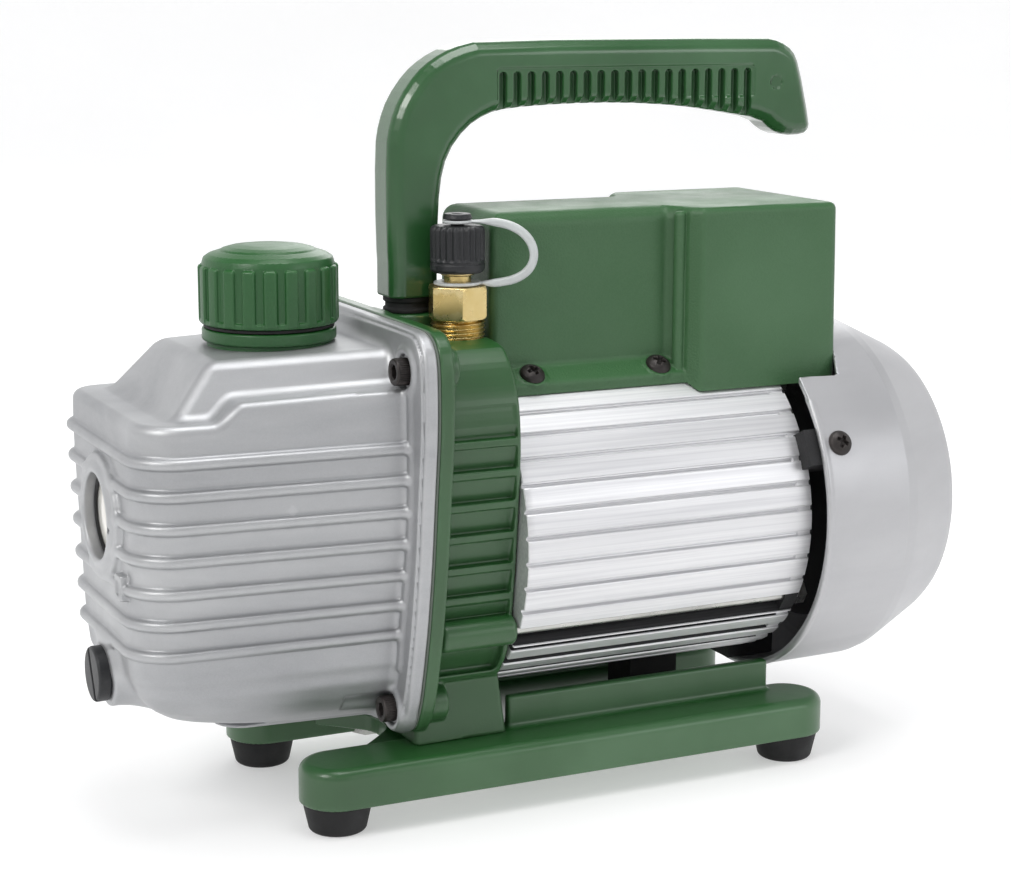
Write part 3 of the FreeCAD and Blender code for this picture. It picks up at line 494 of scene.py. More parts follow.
def brushed(name, base, deep, light, axis=0, rough=(0.18, 0.34), metal=1.0, lines=900.0, h=0.00004, aniso=0.0):
    """Drawn or turned metal with streaks along one axis (0 x, 1 y, 2 z)."""
    k = Mat(name)
    s = [lines, lines, lines]
    s[axis] = lines * 0.012
    streak = k.noise(1.0, 3, 0.6, k.map(tuple(s)))
    broad = k.noise(1.0, 3, 0.55, k.map(tuple(x * 0.12 for x in s)))
    col = k.ramp(streak, [(0.25, deep), (0.5, base), (0.8, light)])
    col = k.mix(k.range(broad, 0.3, 0.75, 0.0, 0.35), col, light)
    spot = k.noise(38, 5, 0.6)
    col = k.mix(k.range(spot, 0.62, 0.8, 0.0, 0.25), col, deep)
    r = k.range(k.math("ADD", k.math("MULTIPLY", broad, 0.6), k.math("MULTIPLY", spot, 0.4)), 0.3, 0.7, *rough)
    return k.set(col, r, k.bump(streak, 0.45, h), metal, Anisotropic=aniso)


def machined(name, base, deep, light, rough=(0.22, 0.4), metal=1.0, stain=30.0):
    """Plated or turned small hardware."""
    k = Mat(name)
    a = k.noise(stain, 5, 0.6)
    col = k.ramp(a, [(0.28, deep), (0.5, base), (0.78, light)])
    col = k.mix(k.math("MULTIPLY", k.wear(0.505, 0.58), 0.5), col, light)
    r = k.range(k.noise(210, 4, 0.6), 0.3, 0.7, *rough)
    return k.set(col, r, k.bump(k.noise(1500, 3, 0.6), 0.35, 0.00003), metal)


def rubber(name, base, deep, light):
    k = Mat(name)
    col = k.ramp(k.noise(55, 4, 0.6), [(0.3, deep), (0.55, base), (0.8, light)])
    dust = k.range(k.noise(16, 5, 0.7), 0.5, 0.8, 0.0, 0.22)
    col = k.mix(dust, col, light)
    r = k.range(k.noise(80, 4, 0.6), 0.3, 0.7, 0.55, 0.78)
    return k.set(col, r, k.bump(k.noise(1300, 3, 0.7), 0.6, 0.00008), 0.0, Specular_IOR_Level=0.4)


GREEN = painted("green_cast", srgb(54, 92, 55), srgb(44, 78, 45), srgb(80, 116, 82), rough=(0.30, 0.42))
GREEN_P = grained("green_plastic", srgb(56, 94, 58), srgb(48, 84, 50), srgb(82, 118, 84))
GREEN_H = painted("green_handle", srgb(40, 84, 44), srgb(30, 66, 34), srgb(70, 112, 74), rough=(0.16, 0.27), coat=0.6)
GREEN_C = grained("cap_plastic", srgb(36, 84, 42), srgb(28, 68, 34), srgb(62, 112, 66), rough=(0.28, 0.42), h=0.00005)
SILVER = cast("silver_cast", srgb(176, 177, 179), srgb(155, 156, 159), srgb(200, 201, 202), rough=(0.42, 0.52))
CHANNEL_SHADOW = brushed("channel_shadow", srgb(52, 52, 54), srgb(38, 38, 40), srgb(78, 78, 80), axis=0, rough=(0.5, 0.65), metal=0.5)
GASKET = cast("gasket_paper", srgb(86, 96, 86), srgb(72, 82, 72), srgb(104, 112, 104), rough=(0.7, 0.8), metal=0.0)
BARE = brushed("bare_aluminium", srgb(224, 224, 226), srgb(206, 206, 209), srgb(240, 240, 241), axis=0, rough=(0.40, 0.52), metal=0.75)
SHEET = cast("cover_silver", srgb(190, 190, 192), srgb(178, 178, 181), srgb(202, 202, 204), rough=(0.42, 0.5), metal=0.8)
BRASS = machined("brass", srgb(218, 194, 132), srgb(200, 172, 106), srgb(238, 220, 170), rough=(0.22, 0.36))
BLACK_SCREW = machined("black_screw", srgb(50, 46, 45), srgb(34, 31, 30), srgb(84, 78, 76), rough=(0.34, 0.5), metal=0.5)
ZINC = machined("zinc_steel", srgb(190, 190, 186), srgb(160, 160, 156), srgb(216, 216, 212))
GROUND = machined("ground_steel", srgb(200, 200, 204), srgb(176, 176, 180), srgb(226, 226, 230), rough=(0.12, 0.25))
IRON = machined("pump_iron", srgb(116, 114, 112), srgb(88, 86, 84), srgb(146, 144, 142), rough=(0.4, 0.56))
RUBBER = rubber("foot_rubber", srgb(22, 22, 23), srgb(15, 15, 16), srgb(42, 42, 44))
SEAL = rubber("seal_rubber", srgb(26, 26, 27), srgb(17, 17, 18), srgb(46, 46, 48))
BLACK_P = grained("black_plastic", srgb(30, 31, 34), srgb(22, 23, 25), srgb(56, 58, 62), rough=(0.36, 0.5), h=0.00006)
BLACK_M = grained("black_matte", srgb(25, 25, 26), srgb(17, 17, 18), srgb(44, 44, 46), rough=(0.6, 0.75))
VANE = grained("vane_composite", srgb(92, 72, 54), srgb(70, 54, 40), srgb(120, 98, 76))
LAMIN = brushed("lamination_steel", srgb(120, 122, 128), srgb(92, 94, 100), srgb(150, 152, 158), axis=1)
COPPER = brushed("winding_copper", srgb(176, 104, 62), srgb(138, 78, 44), srgb(214, 142, 96), axis=2, rough=(0.3, 0.45))
ALLOY = machined("coupling_alloy", srgb(176, 178, 184), srgb(150, 152, 158), srgb(204, 206, 212))
CAPSH = grained("capacitor_shell", srgb(208, 206, 198), srgb(186, 184, 176), srgb(228, 226, 220))
TERM = grained("terminal_plastic", srgb(222, 218, 204), srgb(198, 194, 180), srgb(238, 236, 226))


def make_tether():
    k = Mat("tether_nylon")
    col = k.ramp(k.noise(90, 4, 0.5), [(0.3, srgb(186, 190, 190)), (0.7, srgb(206, 210, 210))])
    k.p.inputs["Transmission Weight"].default_value = 0.0
    k.p.inputs["Subsurface Weight"].default_value = 0.35
    k.p.inputs["Subsurface Radius"].default_value = (0.002, 0.002, 0.002)
    return k.set(col, k.range(k.noise(160, 3, 0.5), 0.3, 0.7, 0.25, 0.4), k.bump(k.noise(700, 2, 0.5), 0.3, 0.00004))


def make_lens():
    k = Mat("clear_glass")
    col = k.ramp(k.noise(24, 3, 0.5), [(0.3, srgb(206, 202, 192)), (0.7, srgb(228, 225, 216))])
    return k.set(col, k.range(k.noise(70, 3, 0.5), 0.3, 0.7, 0.08, 0.18), k.bump(k.noise(60, 2, 0.5), 0.15, 0.00004),
                 Coat_Weight=0.9, Coat_Roughness=0.06, IOR=1.5)


def make_felt():
    k = Mat("mist_filter")
    f = k.noise(600, 6, 0.8, None, 1.2)
    col = k.ramp(f, [(0.3, srgb(176, 172, 160)), (0.7, srgb(232, 229, 220))])
    return k.set(col, 0.9, k.bump(f, 1.0, 0.0004))


TETHER, LENS, FELT = make_tether(), make_lens(), make_felt()
SLOT_MAT = {"green_cast": GREEN, "silver_cast": SILVER, "green_plastic": GREEN_P, "cap_plastic": GREEN_C, "foot_rubber": RUBBER,
            "seal_rubber": SEAL, "black_screw": BLACK_SCREW, "zinc_steel": ZINC, "ground_steel": GROUND, "pump_iron": IRON,
            "vane_composite": VANE, "clear_glass": LENS, "black_plastic": BLACK_P, "black_matte": BLACK_M, "brass": BRASS,
            "tether_nylon": TETHER, "mist_filter": FELT, "bare_aluminium": BARE, "lamination_steel": LAMIN,
            "winding_copper": COPPER, "coupling_alloy": ALLOY, "capacitor_shell": CAPSH, "terminal_plastic": TERM}
slot_of = {s["node"]: s["material_slot"] for s in frame["record"]["subparts"]} if "subparts" in frame["record"] else {}
for name, o in frame["nodes"].items():
    s = slot_of.get(name)
    if s in SLOT_MAT:
        o.data.materials.clear()
        o.data.materials.append(SLOT_MAT[s])
print("materials %.1f s" % (time.time() - T0))

# --------------------------------------------------------------- oil casing
SEC = [(30.0, -31, 13, 17.5), (32.0, -39, 18.5, 22.5), (35.5, -46.5, 24, 27.4), (40.0, -52.8, 27.8, 31.2),
       (46.0, -57.8, 30.6, 34.5), (49.6, -59.2, 31.2, 35.4), (52.0, -60.6, 32.0, 36.6), (60.8, -61.5, 33.0, 37.8),
       (70.7, -61.6, 34.2, 40.2), (80.7, -61.6, 35.6, 42.4), (91.0, -61.6, 37.2, 44.4),
       (101.1, -61.6, 38.8, 45.6), (111.2, -61.6, 40.0, 46.0), (121.0, -61.6, 40.8, 46.2), (129.5, -61.5, 40.8, 46.0),
       (138.0, -61.2, 40.5, 45.8)]
_z = [s[0] for s in SEC]
XF, HF, HB = (Curve1(_z, [s[i] for s in SEC], 0.9) for i in (1, 2, 3))
RIB_Z = [121.0, 111.2, 101.1, 91.0, 80.7, 70.7, 60.8]
RIB_C = [z + 0.5 for z in RIB_Z]
FLH = [(0, 157), (45, 157), (50, 156.4), (54.2, 153.6), (56.6, 149), (57.3, 140), (57.3, 131.5), (56.8, 122.9), (54.8, 106.6),
       (52.8, 87.6), (49.6, 67.9), (47.2, 56.9), (43.1, 41.2), (40.5, 35), (37, 29.5), (33.5, 27.2), (0, 27.2)]
SCREWS = [(44, 144.5), (-44, 144.5), (31.5, 35.5), (-31.5, 35.5)]
FLP = chaikin(sym(FLH), 2)


def casing_body(X, Y, Z, grow=0.0):
    xf, hf, hb = XF(Z), HF(Z), HB(Z)
    low = sstep((56.0 - Z) / 20.0)
    r = 13.5 - 4.5 * sstep((Y + 10.0) / 20.0) - 3.0 * low
    dx, dh = XF.slope(Z), HF.slope(Z)
    hw = hf + (hb - hf) * np.clip((X - xf) / (21.0 - xf), 0, 1.2)
    a = (xf - grow - X) / np.sqrt(1 + dx * dx)
    b = (np.abs(Y) - hw - grow) / np.sqrt(1.004 + dh * dh)
    return rmax(a, b, r + grow)


def casing_top(X, Z):
    t = (X + 40.0) / 10.0
    zt = 132.6 + 5.7 * sstep(t) + np.clip((X + 31) / 52.0, 0, 1.2) * 1.4
    sl = np.where((t > 0) & (t < 1), 0.57 * 6 * t * (1 - t) / 1.0, 0.0)
    return (Z - zt) / np.sqrt(1 + sl * sl)


def casing(X, Y, Z):
    core = casing_body(X, Y, Z)
    rim = casing_body(X, Y, Z, 2.1)
    ribz = np.min(np.stack([np.abs(Z - z) for z in RIB_C]), 0)
    ribs = rmax(rmax(rim, ribz - 1.7, 1.6), X - 23.0, 0.3)
    collar = rmax(rmax(rim, 20.0 - X, 0.4), rmax(X - 23.0, 50.0 - Z, 0.3), 0.3)
    side = rmin(core, np.minimum(ribs, collar), 1.0)
    body = rmax(side, casing_top(X, Z), 2.8)
    body = rmax(body, 28.3 - Z, 4.0)
    # hump with the sloping front
    hs = (np.abs(Y) - (26.6 + 5.6 * (X + 33) / 54.0 + (149.0 - Z) * 0.54)) / 1.137
    ht = Z - (148.6 + 1.2 * np.clip((X + 33) / 54.0, 0, 1))
    hf = ((X + 49.6) * -16.4 + (Z - 132.6) * 14.4) / 21.82
    hump = rmax(rmax(ht, hf, 2.4), hs, 2.8)
    hump = rmax(hump, rmax(X - 24.0, -54.0 - X, 0.5), 0.5)
    hump = rmax(hump, 129.0 - Z, 0.5)
    body = rmin(body, hump, 2.2)
    body = rmax(body, X - 25.2, 0.3)
    # flange with its machined rim line
    fl = poly2(Y, Z, FLP)
    flange = rmax(fl, slab(X, 21.0, 25.4), 1.1)
    flange = rmin(flange, rmax(fl + 1.5, slab(X, 20.2, 25.0), 0.6), 0.25)
    body = rmin(body, flange, 2.8)
    body = rmax(body, X - 25.4, 0.0)
    # screw bosses, drain boss and sight-glass ring
    for sy, sz in SCREWS:
        body = rmin(body, cyx(X, Y, Z, 19.4, 25.2, sy, sz, 7.4, 0.9), 1.8)
    body = rmin(body, cyx(X, Y, Z, -62.8, -40.0, 0, 49.0, 10.6, 1.2), 5.5)
    body = rmin(body, rmax(cyx(X, Y, Z, -63.9, -50, 0, 99.0, 19.6, 1.2), rim - 0.3, 0.5), 1.6)
    body = rmin(body, cyx(X, Y, Z, -64.9, -56.0, 0, 99.0, 16.6, 2.1), 1.0)
    body = rmin(body, rmax(rmax(slab(Y, -24.6, -19.0), slab(Z, 77.6, 85.6), 0.7), rmax(rim - 0.7, X + 40, 0.5), 0.5), 0.5)
    body = rcut(body, rmax(rmax(slab(Y, -23.2, -20.4), slab(Z, 79.4, 83.8), 0.4), rmax(0.2 - rim, X + 40, 0.2), 0.2), 0.25)
    body = rcut(body, cyx(X, Y, Z, -75, -59.4, 0, 99.0, 13.3, 0.2), 1.2)
    body = rcut(body, cyx(X, Y, Z, -75, -56.0, 0, 99.0, 11.0, 0.3), 0.3)
    body = rcut(body, cyx(X, Y, Z, -75, -63.6, -14.9, 97.8, 0.7, 0.1), 0.15)
    body = rcut(body, cyx(X, Y, Z, -75, -48.0, 0, 49.0, 5.2, 0.3), 0.6)
    for sy, sz in SCREWS:
        body = rcut(body, cyx(X, Y, Z, 5.0, 20.9, sy, sz, 5.2, 0.3), 1.2)
        body = rcut(body, cyx(X, Y, Z, 8.0, 30.0, sy, sz, 2.8, 0.0), 0.3)
    body = rcut(body, cyz(X, Y, Z, -7.2, 0, 140.0, 160.0, 17.5, 0.3), 0.6)
    return body


sdf_piece("casing_shell", casing, (-66.5, -58.5, 26.5), (26.0, 58.5, 158.0), 0.8, SILVER, "pump_frame",
          keep=0.62, stand_for=["oil_casing"])

# ------------------------------------------------------------------ bracket
NK = [(0, 149), (33, 149), (39, 145), (43.8, 138), (46.4, 132), (47.6, 121), (47.2, 111), (46.2, 101), (45.2, 91), (44, 80.7),
      (42.6, 70.7), (41, 61.5), (39.5, 55), (37.5, 50), (34, 45.5), (30.5, 41), (0, 41)]
NKP = chaikin(sym(NK), 2)


def bracket(X, Y, Z):
    fl = poly2(Y, Z, FLP)
    plate = rmax(fl, slab(X, 26.0, 30.8), 1.0)
    sn = poly2(Y, Z, NKP)
    neck = rmax(sn - 0.9, slab(X, 28.0, 57.0), 1.2)
    # bays between the cooling fins, deeper towards their lower ends
    tops = [132.5] + RIB_Z
    for i, zt in enumerate(tops[:-1]):
        z1, z0 = zt - (1.25 if i else 0.0), tops[i + 1] + 1.1
        u = np.clip((z1 - Z) / (z1 - z0), 0.0, 1.15)
        depth = 0.1 + 2.0 * u ** 1.3 if i else -0.6 + 1.9 * np.clip(u * 2.6 - 1.6, 0, 1)
        zone = rmax(rmax(slab(X, 24.0, 55.5), slab(Z, z0, z1), 0.7), 24.0 - np.abs(Y), 1.0)
        neck = rcut(neck, rmax(-(sn + depth), zone, 0.8), 0.35)
    # the open bay under the lowest fin
    zone = rmax(rmax(slab(X, 24.0, 55.0), slab(Z, 44.0, 58.6), 1.8), 24.0 - np.abs(Y), 1.0)
    neck = rcut(neck, rmax(-(sn + 2.4), zone, 1.6), 0.8)
    body = rmin(plate, neck, 1.8)
    for sy in (-1, 1):
        body = rmin(body, cyx(X, Y, Z, 31.5, 57.0, sy * 41.9, 59.4, 4.9, 1.6), 0.6)
        body = rmin(body, rmax(cyx(X, Y, Z, 30.0, 35.6, sy * 44.0, 144.5, 6.6, 1.2), 0.0 * X - 1.0, 0.0), 1.2)
        body = rmin(body, cyx(X, Y, Z, 30.0, 37.6, sy * 31.5, 35.5, 5.8, 1.2), 1.4)
    # legs, leaning out to the foot
    hw = 31.2 + (43.0 - Z) * 0.155 - (X - 31.0) * 0.02
    legs = rmax(rmax((np.abs(Y) - hw) / 1.012, slab(X, 27.0, 57.4 + (43.0 - Z) * 0.08), 1.6), slab(Z, 22.5, 44.5), 0.5)
    body = rmin(body, legs, 1.2)
    body = rmax(body, 26.0 - X, 0.2)
    # handle boss
    body = rmin(body, cyz(X, Y, Z, 39.6, 0, 146.0, 156.0, 10.2, 1.0), 2.5)
    # arch through the leg
    arch = rmax(rmax(np.abs(Y) - 13.0, slab(Z, 18.0, 37.0), 3.0), slab(X, 32.5, 72.0), 0.3)
    body = rcut(body, arch, 0.6)
    body = rcut(body, cyz(X, Y, Z, 49.0, -18.0, 139.0, 160.0, 8.3, 0.1), 0.5)
    body = rcut(body, cyx(X, Y, Z, 33.0, 60.0, 0, AXZ, 30.0, 1.0), 1.0)
    body = rcut(body, cyx(X, Y, Z, 20.0, 40.0, 0, AXZ, 12.9, 0.3), 0.3)
    return body


sdf_piece("bracket_casting", bracket, (25.5, -58.5, 22.0), (60.8, 58.5, 157.5), 0.75, GREEN, "pump_frame",
          keep=0.62, stand_for=["pump_bracket"])


# --------------------------------------------------------------- base frame
def base_frame(X, Y, Z):
    body = None
    for s in (-1, 1):
        xc = np.clip(X, 0, 163.5)
        d = np.sqrt((X - xc) ** 2 + (Y - s * 35.0) ** 2) - 12.0
        rail = rmax(rmax(d, Z - 22.5, 3.4), 9.5 - Z, 0.6)
        body = rail if body is None else np.minimum(body, rail)
    plan = [(8, -27), (24, -12), (29, -6), (29, 6), (24, 12), (8, 27), (156, 27), (140, 12), (135, 6), (135, -6), (140, -12), (156, -27)]
    fl = rmax(poly2(X, Y, chaikin(plan, 2)), slab(Z, 14.5, 20.5), 0.8)
    body = rmin(body, fl, 2.0)
    web = rmax(rmax(np.abs(np.abs(Y) - 28.6) - 1.9, slab(X, 61.2, 159.0), 1.2), slab(Z, 20.0, 33.0), 1.1)
    body = rmin(body, web, 1.8)
    return body


sdf_piece("base_casting", base_frame, (-13, -48, 9), (177, 48, 34), 0.8, GREEN, "pump_frame",
          keep=0.5, stand_for=["base_frame"])

# ------------------------------------------------------------------- handle
OUT_H = [(31.7, 161.2), (30.6, 180), (30.6, 208), (32.0, 216), (35.0, 223.5), (40.7, 231.1), (46.5, 235.6), (53.5, 239),
         (63.0, 241.2), (168.0, 241.2), (173.5, 240.2), (178.6, 237.2), (181.3, 232.0), (186.0, 212.6), (185.6, 210.2),
         (183.6, 208.5), (176.2, 208.4), (171.5, 210.2), (166.7, 214.2), (152.8, 216.7), (135.8, 219.2), (113.8, 220.7),
         (92.2, 220.7), (72.3, 219.7), (65.0, 218.0), (57.8, 213.8), (51.5, 206), (48.8, 196.0), (47.9, 180), (47.6, 161.2)]
OHP = chaikin(OUT_H, 1)


def handle(X, Y, Z):
    p = poly2(X, np.maximum(Z, 172.0), OHP)
    body = rmax(p, np.abs(Y) - 8.5, 2.2)
    body = rmax(body, (p + np.abs(Y) - 8.5 + 3.0) / 1.4142, 1.0)
    body = rmax(body, 161.0 - Z, 0.9)
    inner = p + 4.0
    grip = rmax(inner, rmax(67.0 - X, X - 162.5, 1.0), 1.2)
    # shallow bed with the upright slots
    bed = rmax(rmax(slab(X, 67.4, 161.8), 222.0 - Z - (X - 100.0) * 0.0, 0.8), Z - 232.4, 0.9)
    body = rcut(body, rmax(bed, 8.05 - np.abs(Y), 0.2), 0.4)
    i = np.clip(np.round((X - 69.6) / 5.0), 0, 18)
    gx = 69.6 + 5.0 * i
    slot = rmax(rmax(np.abs(X - gx) - 1.3, Z - 231.2, 1.2), rmax(216.0 - Z, 5.2 - np.abs(Y), 0.3), 0.2)
    body = rcut(body, slot, 0.45)
    body = rcut(body, rmax(np.sqrt((X - 170.5) ** 2 + (Z - 226.5) ** 2) - 2.2, 8.1 - np.abs(Y), 0.1), 0.3)
    return body


sdf_piece("handle_grip", handle, (30.0, -9.0, 160.0), (187.0, 9.0, 242.0), 0.62, GREEN_H, "pump_frame",
          keep=0.5, stand_for=["handle"])


def collar(X, Y, Z):
    b = cyz(X, Y, Z, 39.6, 0, 156.0, 161.4, 7.2, 0.3)
    b = rmin(b, cyz(X, Y, Z, 39.6, 0, 159.4, 161.2, 7.9, 0.5), 0.3)
    b = rmin(b, cyz(X, Y, Z, 39.6, 0, 156.0, 157.6, 7.9, 0.5), 0.3)
    return rcut(b, cyz(X, Y, Z, 39.6, 0, 150.0, 165.0, 5.2, 0.0), 0.3)


sdf_piece("handle_collar_ring", collar, (30, -9.6, 155.5), (49, 9.6, 161.5), 0.4, BLACK_M, "pump_frame",
          keep=0.5, stand_for=["handle_collar"])

# ----------------------------------------------------------- electrical box
BXP = [(59.5, -21), (122, -21), (125, -24), (126.2, -28.5), (129.5, -32.5), (182, -32.5),
       (182, 32.5), (129.5, 32.5), (126.2, 28.5), (125, 24), (122, 21), (59.5, 21)]
BSC = [(71.9, -24.2), (117.7, -24.2), (71.9, 24.2), (117.7, 24.2)]


def round_plan(pts, rs, n=6):
    """A closed outline with each corner drawn as an arc of its own radius."""
    out = []
    m = len(pts)
    for i in range(m):
        p, a, b = (np.array(pts[i], float), np.array(pts[i - 1], float), np.array(pts[(i + 1) % m], float))
        r = rs[i]
        if r <= 0:
            out.append(tuple(p))
            continue
        u, v = (a - p), (b - p)
        lu, lv = np.linalg.norm(u), np.linalg.norm(v)
        u, v = u / lu, v / lv
        ang = math.acos(float(np.clip(u @ v, -1, 1)))
        t = min(r / math.tan(ang / 2), 0.48 * lu, 0.48 * lv)
        q0, q1 = p + u * t, p + v * t
        for k in range(n + 1):
            s = k / n
            out.append(tuple((1 - s) ** 2 * q0 + 2 * s * (1 - s) * p + s ** 2 * q1))
    return out


BOXO = round_plan(BXP, [3.4, 1.8, 1.2, 1.4, 2.6, 4.2, 4.2, 2.6, 1.4, 1.2, 1.8, 3.4])


def ebox(X, Y, Z):
    pl = poly2(X, Y, BOXO)
    pl = pl + 0.012 * np.clip(Z - 139.6, 0, 60)
    b = rmax(pl, slab(Z, 120.0, 188.0), 2.4 + 2.6 * sstep((127.0 - X) / 5.0))
    # ledge that lies on the housing, with its lip
    y = np.abs(Y)
    slope = ((y - 21.0) * 4.6 + (Z - 138.9) * 7.2) / 8.544
    led = rmax(rmax(slope, y - 28.2, 0.7), slab(X, 60.4, 129.0), 1.6)
    led = rmax(led, Z - 139.6, 0.6)
    b = rmin(b, led, 0.9)
    # fold that runs up the step between the narrow and the wide part
    b = rmin(b, rmax(np.sqrt((X - 124.7) ** 2 + (y - 25.2) ** 2) - 2.0, slab(Z, 128.0, 186.6), 1.2), 0.35)
    b = rmax(b, rmax(126.3 - Z, 0.0 * X - 50.0, 0.0), 0.6)
    b = rcut(b, cyx(X, Y, Z, 40, 200, 0, AXZ, 53.12, 0.0), 0.4)
    # seats for the four screws
    for bx_, by_ in BSC:
        s = 1.0 if by_ > 0 else -1.0
        n = np.array([0.0, s * 4.6, 7.2]) / 8.544
        p = np.array([bx_, by_ + 0.4 * s, 138.9 - (abs(by_) + 0.4 - 21) * 4.6 / 7.2])
        ax = (X - p[0]) * n[0] + (Y - p[1]) * n[1] + (Z - p[2]) * n[2]
        rad = np.sqrt(np.maximum((X - p[0]) ** 2 + (Y - p[1]) ** 2 + (Z - p[2]) ** 2 - ax ** 2, 0))
        b = rmin(b, rmax(rad - 5.2, np.abs(ax + 2.0) - 2.15, 0.4), 0.5)
        b = rcut(b, rmax(rad - 2.2, np.abs(ax) - 8.0, 0.0), 0.2)
    # openings of the rear face
    b = rcut(b, bx(X, Y, Z, 170, 13 - 13.9, 170 - 9.9, 190, 13 + 13.9, 170 + 9.9, 1.0), 0.4)
    b = rcut(b, bx(X, Y, Z, 170, -15 - 10.4, 170 - 6.9, 190, -15 + 10.4, 170 + 6.9, 0.5), 0.4)
    b = rcut(b, bx(X, Y, Z, 62.0, -18.5, 142, 179.6, 18.5, 185.6, 2.0), 0.4)
    b = rcut(b, bx(X, Y, Z, 130.0, -30.0, 128.0, 179.6, 30.0, 185.6, 2.0), 0.4)
    return b


sdf_piece("box_cover", ebox, (58.5, -34, 121), (183.5, 34, 189), 0.8, GREEN_P, "pump_frame",
          keep=0.5, stand_for=["electrical_box"])


# ---------------------------------------------------------------- fan cover
COVP = [(162.4, 60.85), (194.0, 60.4), (197.5, 59.6), (200.5, 58.2), (217.0, 50.3), (219.6, 48.6), (221.0, 46.4), (221.6, 43.5),
        (221.6, -2), (219.8, -2), (219.8, 43.0), (219.4, 45.6), (217.8, 47.4), (199.6, 56.5), (197.0, 57.9), (193.6, 58.6), (162.4, 59.05)]


def fan_cover(X, Y, Z):
    R = np.sqrt(Y ** 2 + (Z - AXZ) ** 2)
    b = poly2(X, R, COVP) - 0.05
    # rolled front edge
    b = rmin(b, rmax(np.sqrt((X - 163.0) ** 2 + (R - 60.0) ** 2) - 1.15, Z - 125.0, 0.5), 0.5)
    b = rmin(b, np.sqrt((X - 220.2) ** 2 + (R - 43.0) ** 2) - 1.6, 1.0)
    # pressed rings of the rear face
    b = rmin(b, np.sqrt(((X - 220.9) * 1.0) ** 2 + (R - 10.5) ** 2) - 1.2, 0.8)
    # notch that clears the box; its end runs back beside the box wall
    xb = np.minimum(182.6, 180.2 - 0.48 * (np.abs(Y) - 33.1))
    b = rcut(b, rmax(rmax(X - xb, np.abs(Y) - 39.4, 0.6), 110.5 - Z, 0.5), 0.3)
    a = np.arctan2(Y, Z - AXZ)
    k = np.round(a / math.radians(15)) * math.radians(15)
    u = np.cos(k) * (Z - AXZ) + np.sin(k) * Y
    v = -np.sin(k) * (Z - AXZ) + np.cos(k) * Y
    uc = np.clip(u, 15.5, 38.5)
    b = rcut(b, rmax(np.sqrt((u - uc) ** 2 + v ** 2) - 1.7, 215.0 - X, 0.1), 0.35)
    for ang in (25.7, 154.3, 270.0):
        ca, sa = math.cos(math.radians(ang)), math.sin(math.radians(ang))
        t = -sa * Y + ca * (Z - AXZ)
        w = ca * Y + sa * (Z - AXZ)
        rad = np.sqrt((X - 169.1) ** 2 + t ** 2)
        b = rcut(b, rmax(rad - 2.25, 50.0 - w, 0.0), 0.2)
    return b


sdf_piece("fan_cover_shell", fan_cover, (161.2, -62, AXZ - 62), (222.6, 62, AXZ + 62), 0.75, SHEET, "pump_frame",
          keep=0.55, stand_for=["fan_cover"])


# ------------------------------------------------- gasket between the castings
def gasket_piece():
    """A thin sheet just inside the two flanges' outline."""
    pts = np.array(FLP)
    c = np.array([0.0, 90.0])
    d = pts - c
    pts = c + d * (1 - 0.30 / np.linalg.norm(d, axis=1, keepdims=True))
    n = len(pts)
    V = np.concatenate([np.column_stack([np.full(n, x), pts]) for x in (25.38, 26.04)])
    inner = np.concatenate([np.column_stack([np.full(n, x), c + (pts - c) * 0.8]) for x in (25.38, 26.04)])
    V = np.concatenate([V, inner])
    i = np.arange(n)
    j = (i + 1) % n
    F = np.concatenate([np.stack([i, j, j + n, i + n], 1), np.stack([i + 2 * n, i + 3 * n, j + 3 * n, j + 2 * n], 1),
                        np.stack([i, i + 2 * n, j + 2 * n, j], 1), np.stack([i + n, j + n, j + 3 * n, i + 3 * n], 1)])
    me = mesh_from("flange_gasket", to_row(V), F)
    bm = bmesh.new()
    bm.from_mesh(me)
    bmesh.ops.recalc_face_normals(bm, faces=bm.faces)
    bm.to_mesh(me)
    bm.free()
    o = add_object("flange_gasket", me, [GASKET])
    return finish_piece(o, "pump_frame", ["casing_gasket"])


gasket_piece()


# ------------------------------------------------------------ motor housing
def housing_profile():
    """Outer outline of the extrusion as (angle in degrees, radius) points."""
    out = []
    pitch = 9.0
    for i in range(40):
        a0 = pitch * i + 4.2
        rg = 51.3 if math.sin(math.radians(a0)) > -0.42 else 48.8
        pts = [(0.0, 52.45), (0.14, 52.8), (0.45, 53.0), (3.5, 53.0), (6.95, 53.0), (7.2, 52.86), (7.32, 52.55), (7.4, 52.3),
               (7.75, 52.25), (7.82, rg + 0.6), (7.95, rg + 0.2), (8.4, rg), (8.85, rg + 0.2), (8.96, rg + 0.6)]
        if rg < 50.0:
            pts = [(0.0, 52.45), (0.14, 52.8), (0.45, 53.0), (2.7, 53.0), (4.9, 53.0), (5.1, 52.85), (5.2, 52.4), (5.3, rg + 0.6),
                   (5.6, rg), (7.2, rg), (8.6, rg), (8.85, rg + 0.2), (8.96, rg + 0.6)]
        out += [(a0 + da, r) for da, r in pts]
    # the two bolt channels, at -33 and 213 degrees
    for c in (-33, 213):
        hw = math.degrees(math.asin(4.1 / 53.0))
        hb = hw - 0.35
        keep = [(a, r) for a, r in out if abs((a - c + 180) % 360 - 180) > hb + 0.25]
        add = [(c - hw - 0.45, 53.0), (c - hw - 0.1, 52.85), (c - hw, 52.5), (c - hb + 0.05, 47.0), (c - hb + 0.7, 46.4), (c, 46.4),
               (c + hb - 0.7, 46.4), (c + hb - 0.05, 47.0), (c + hw, 52.5), (c + hw + 0.1, 52.85), (c + hw + 0.45, 53.0)]
        keep = [(a, r) for a, r in keep if abs((a - c + 180) % 360 - 180) > hw + 0.6]
        out = keep + add
    out = sorted(((a % 360.0), r) for a, r in out)
    return out


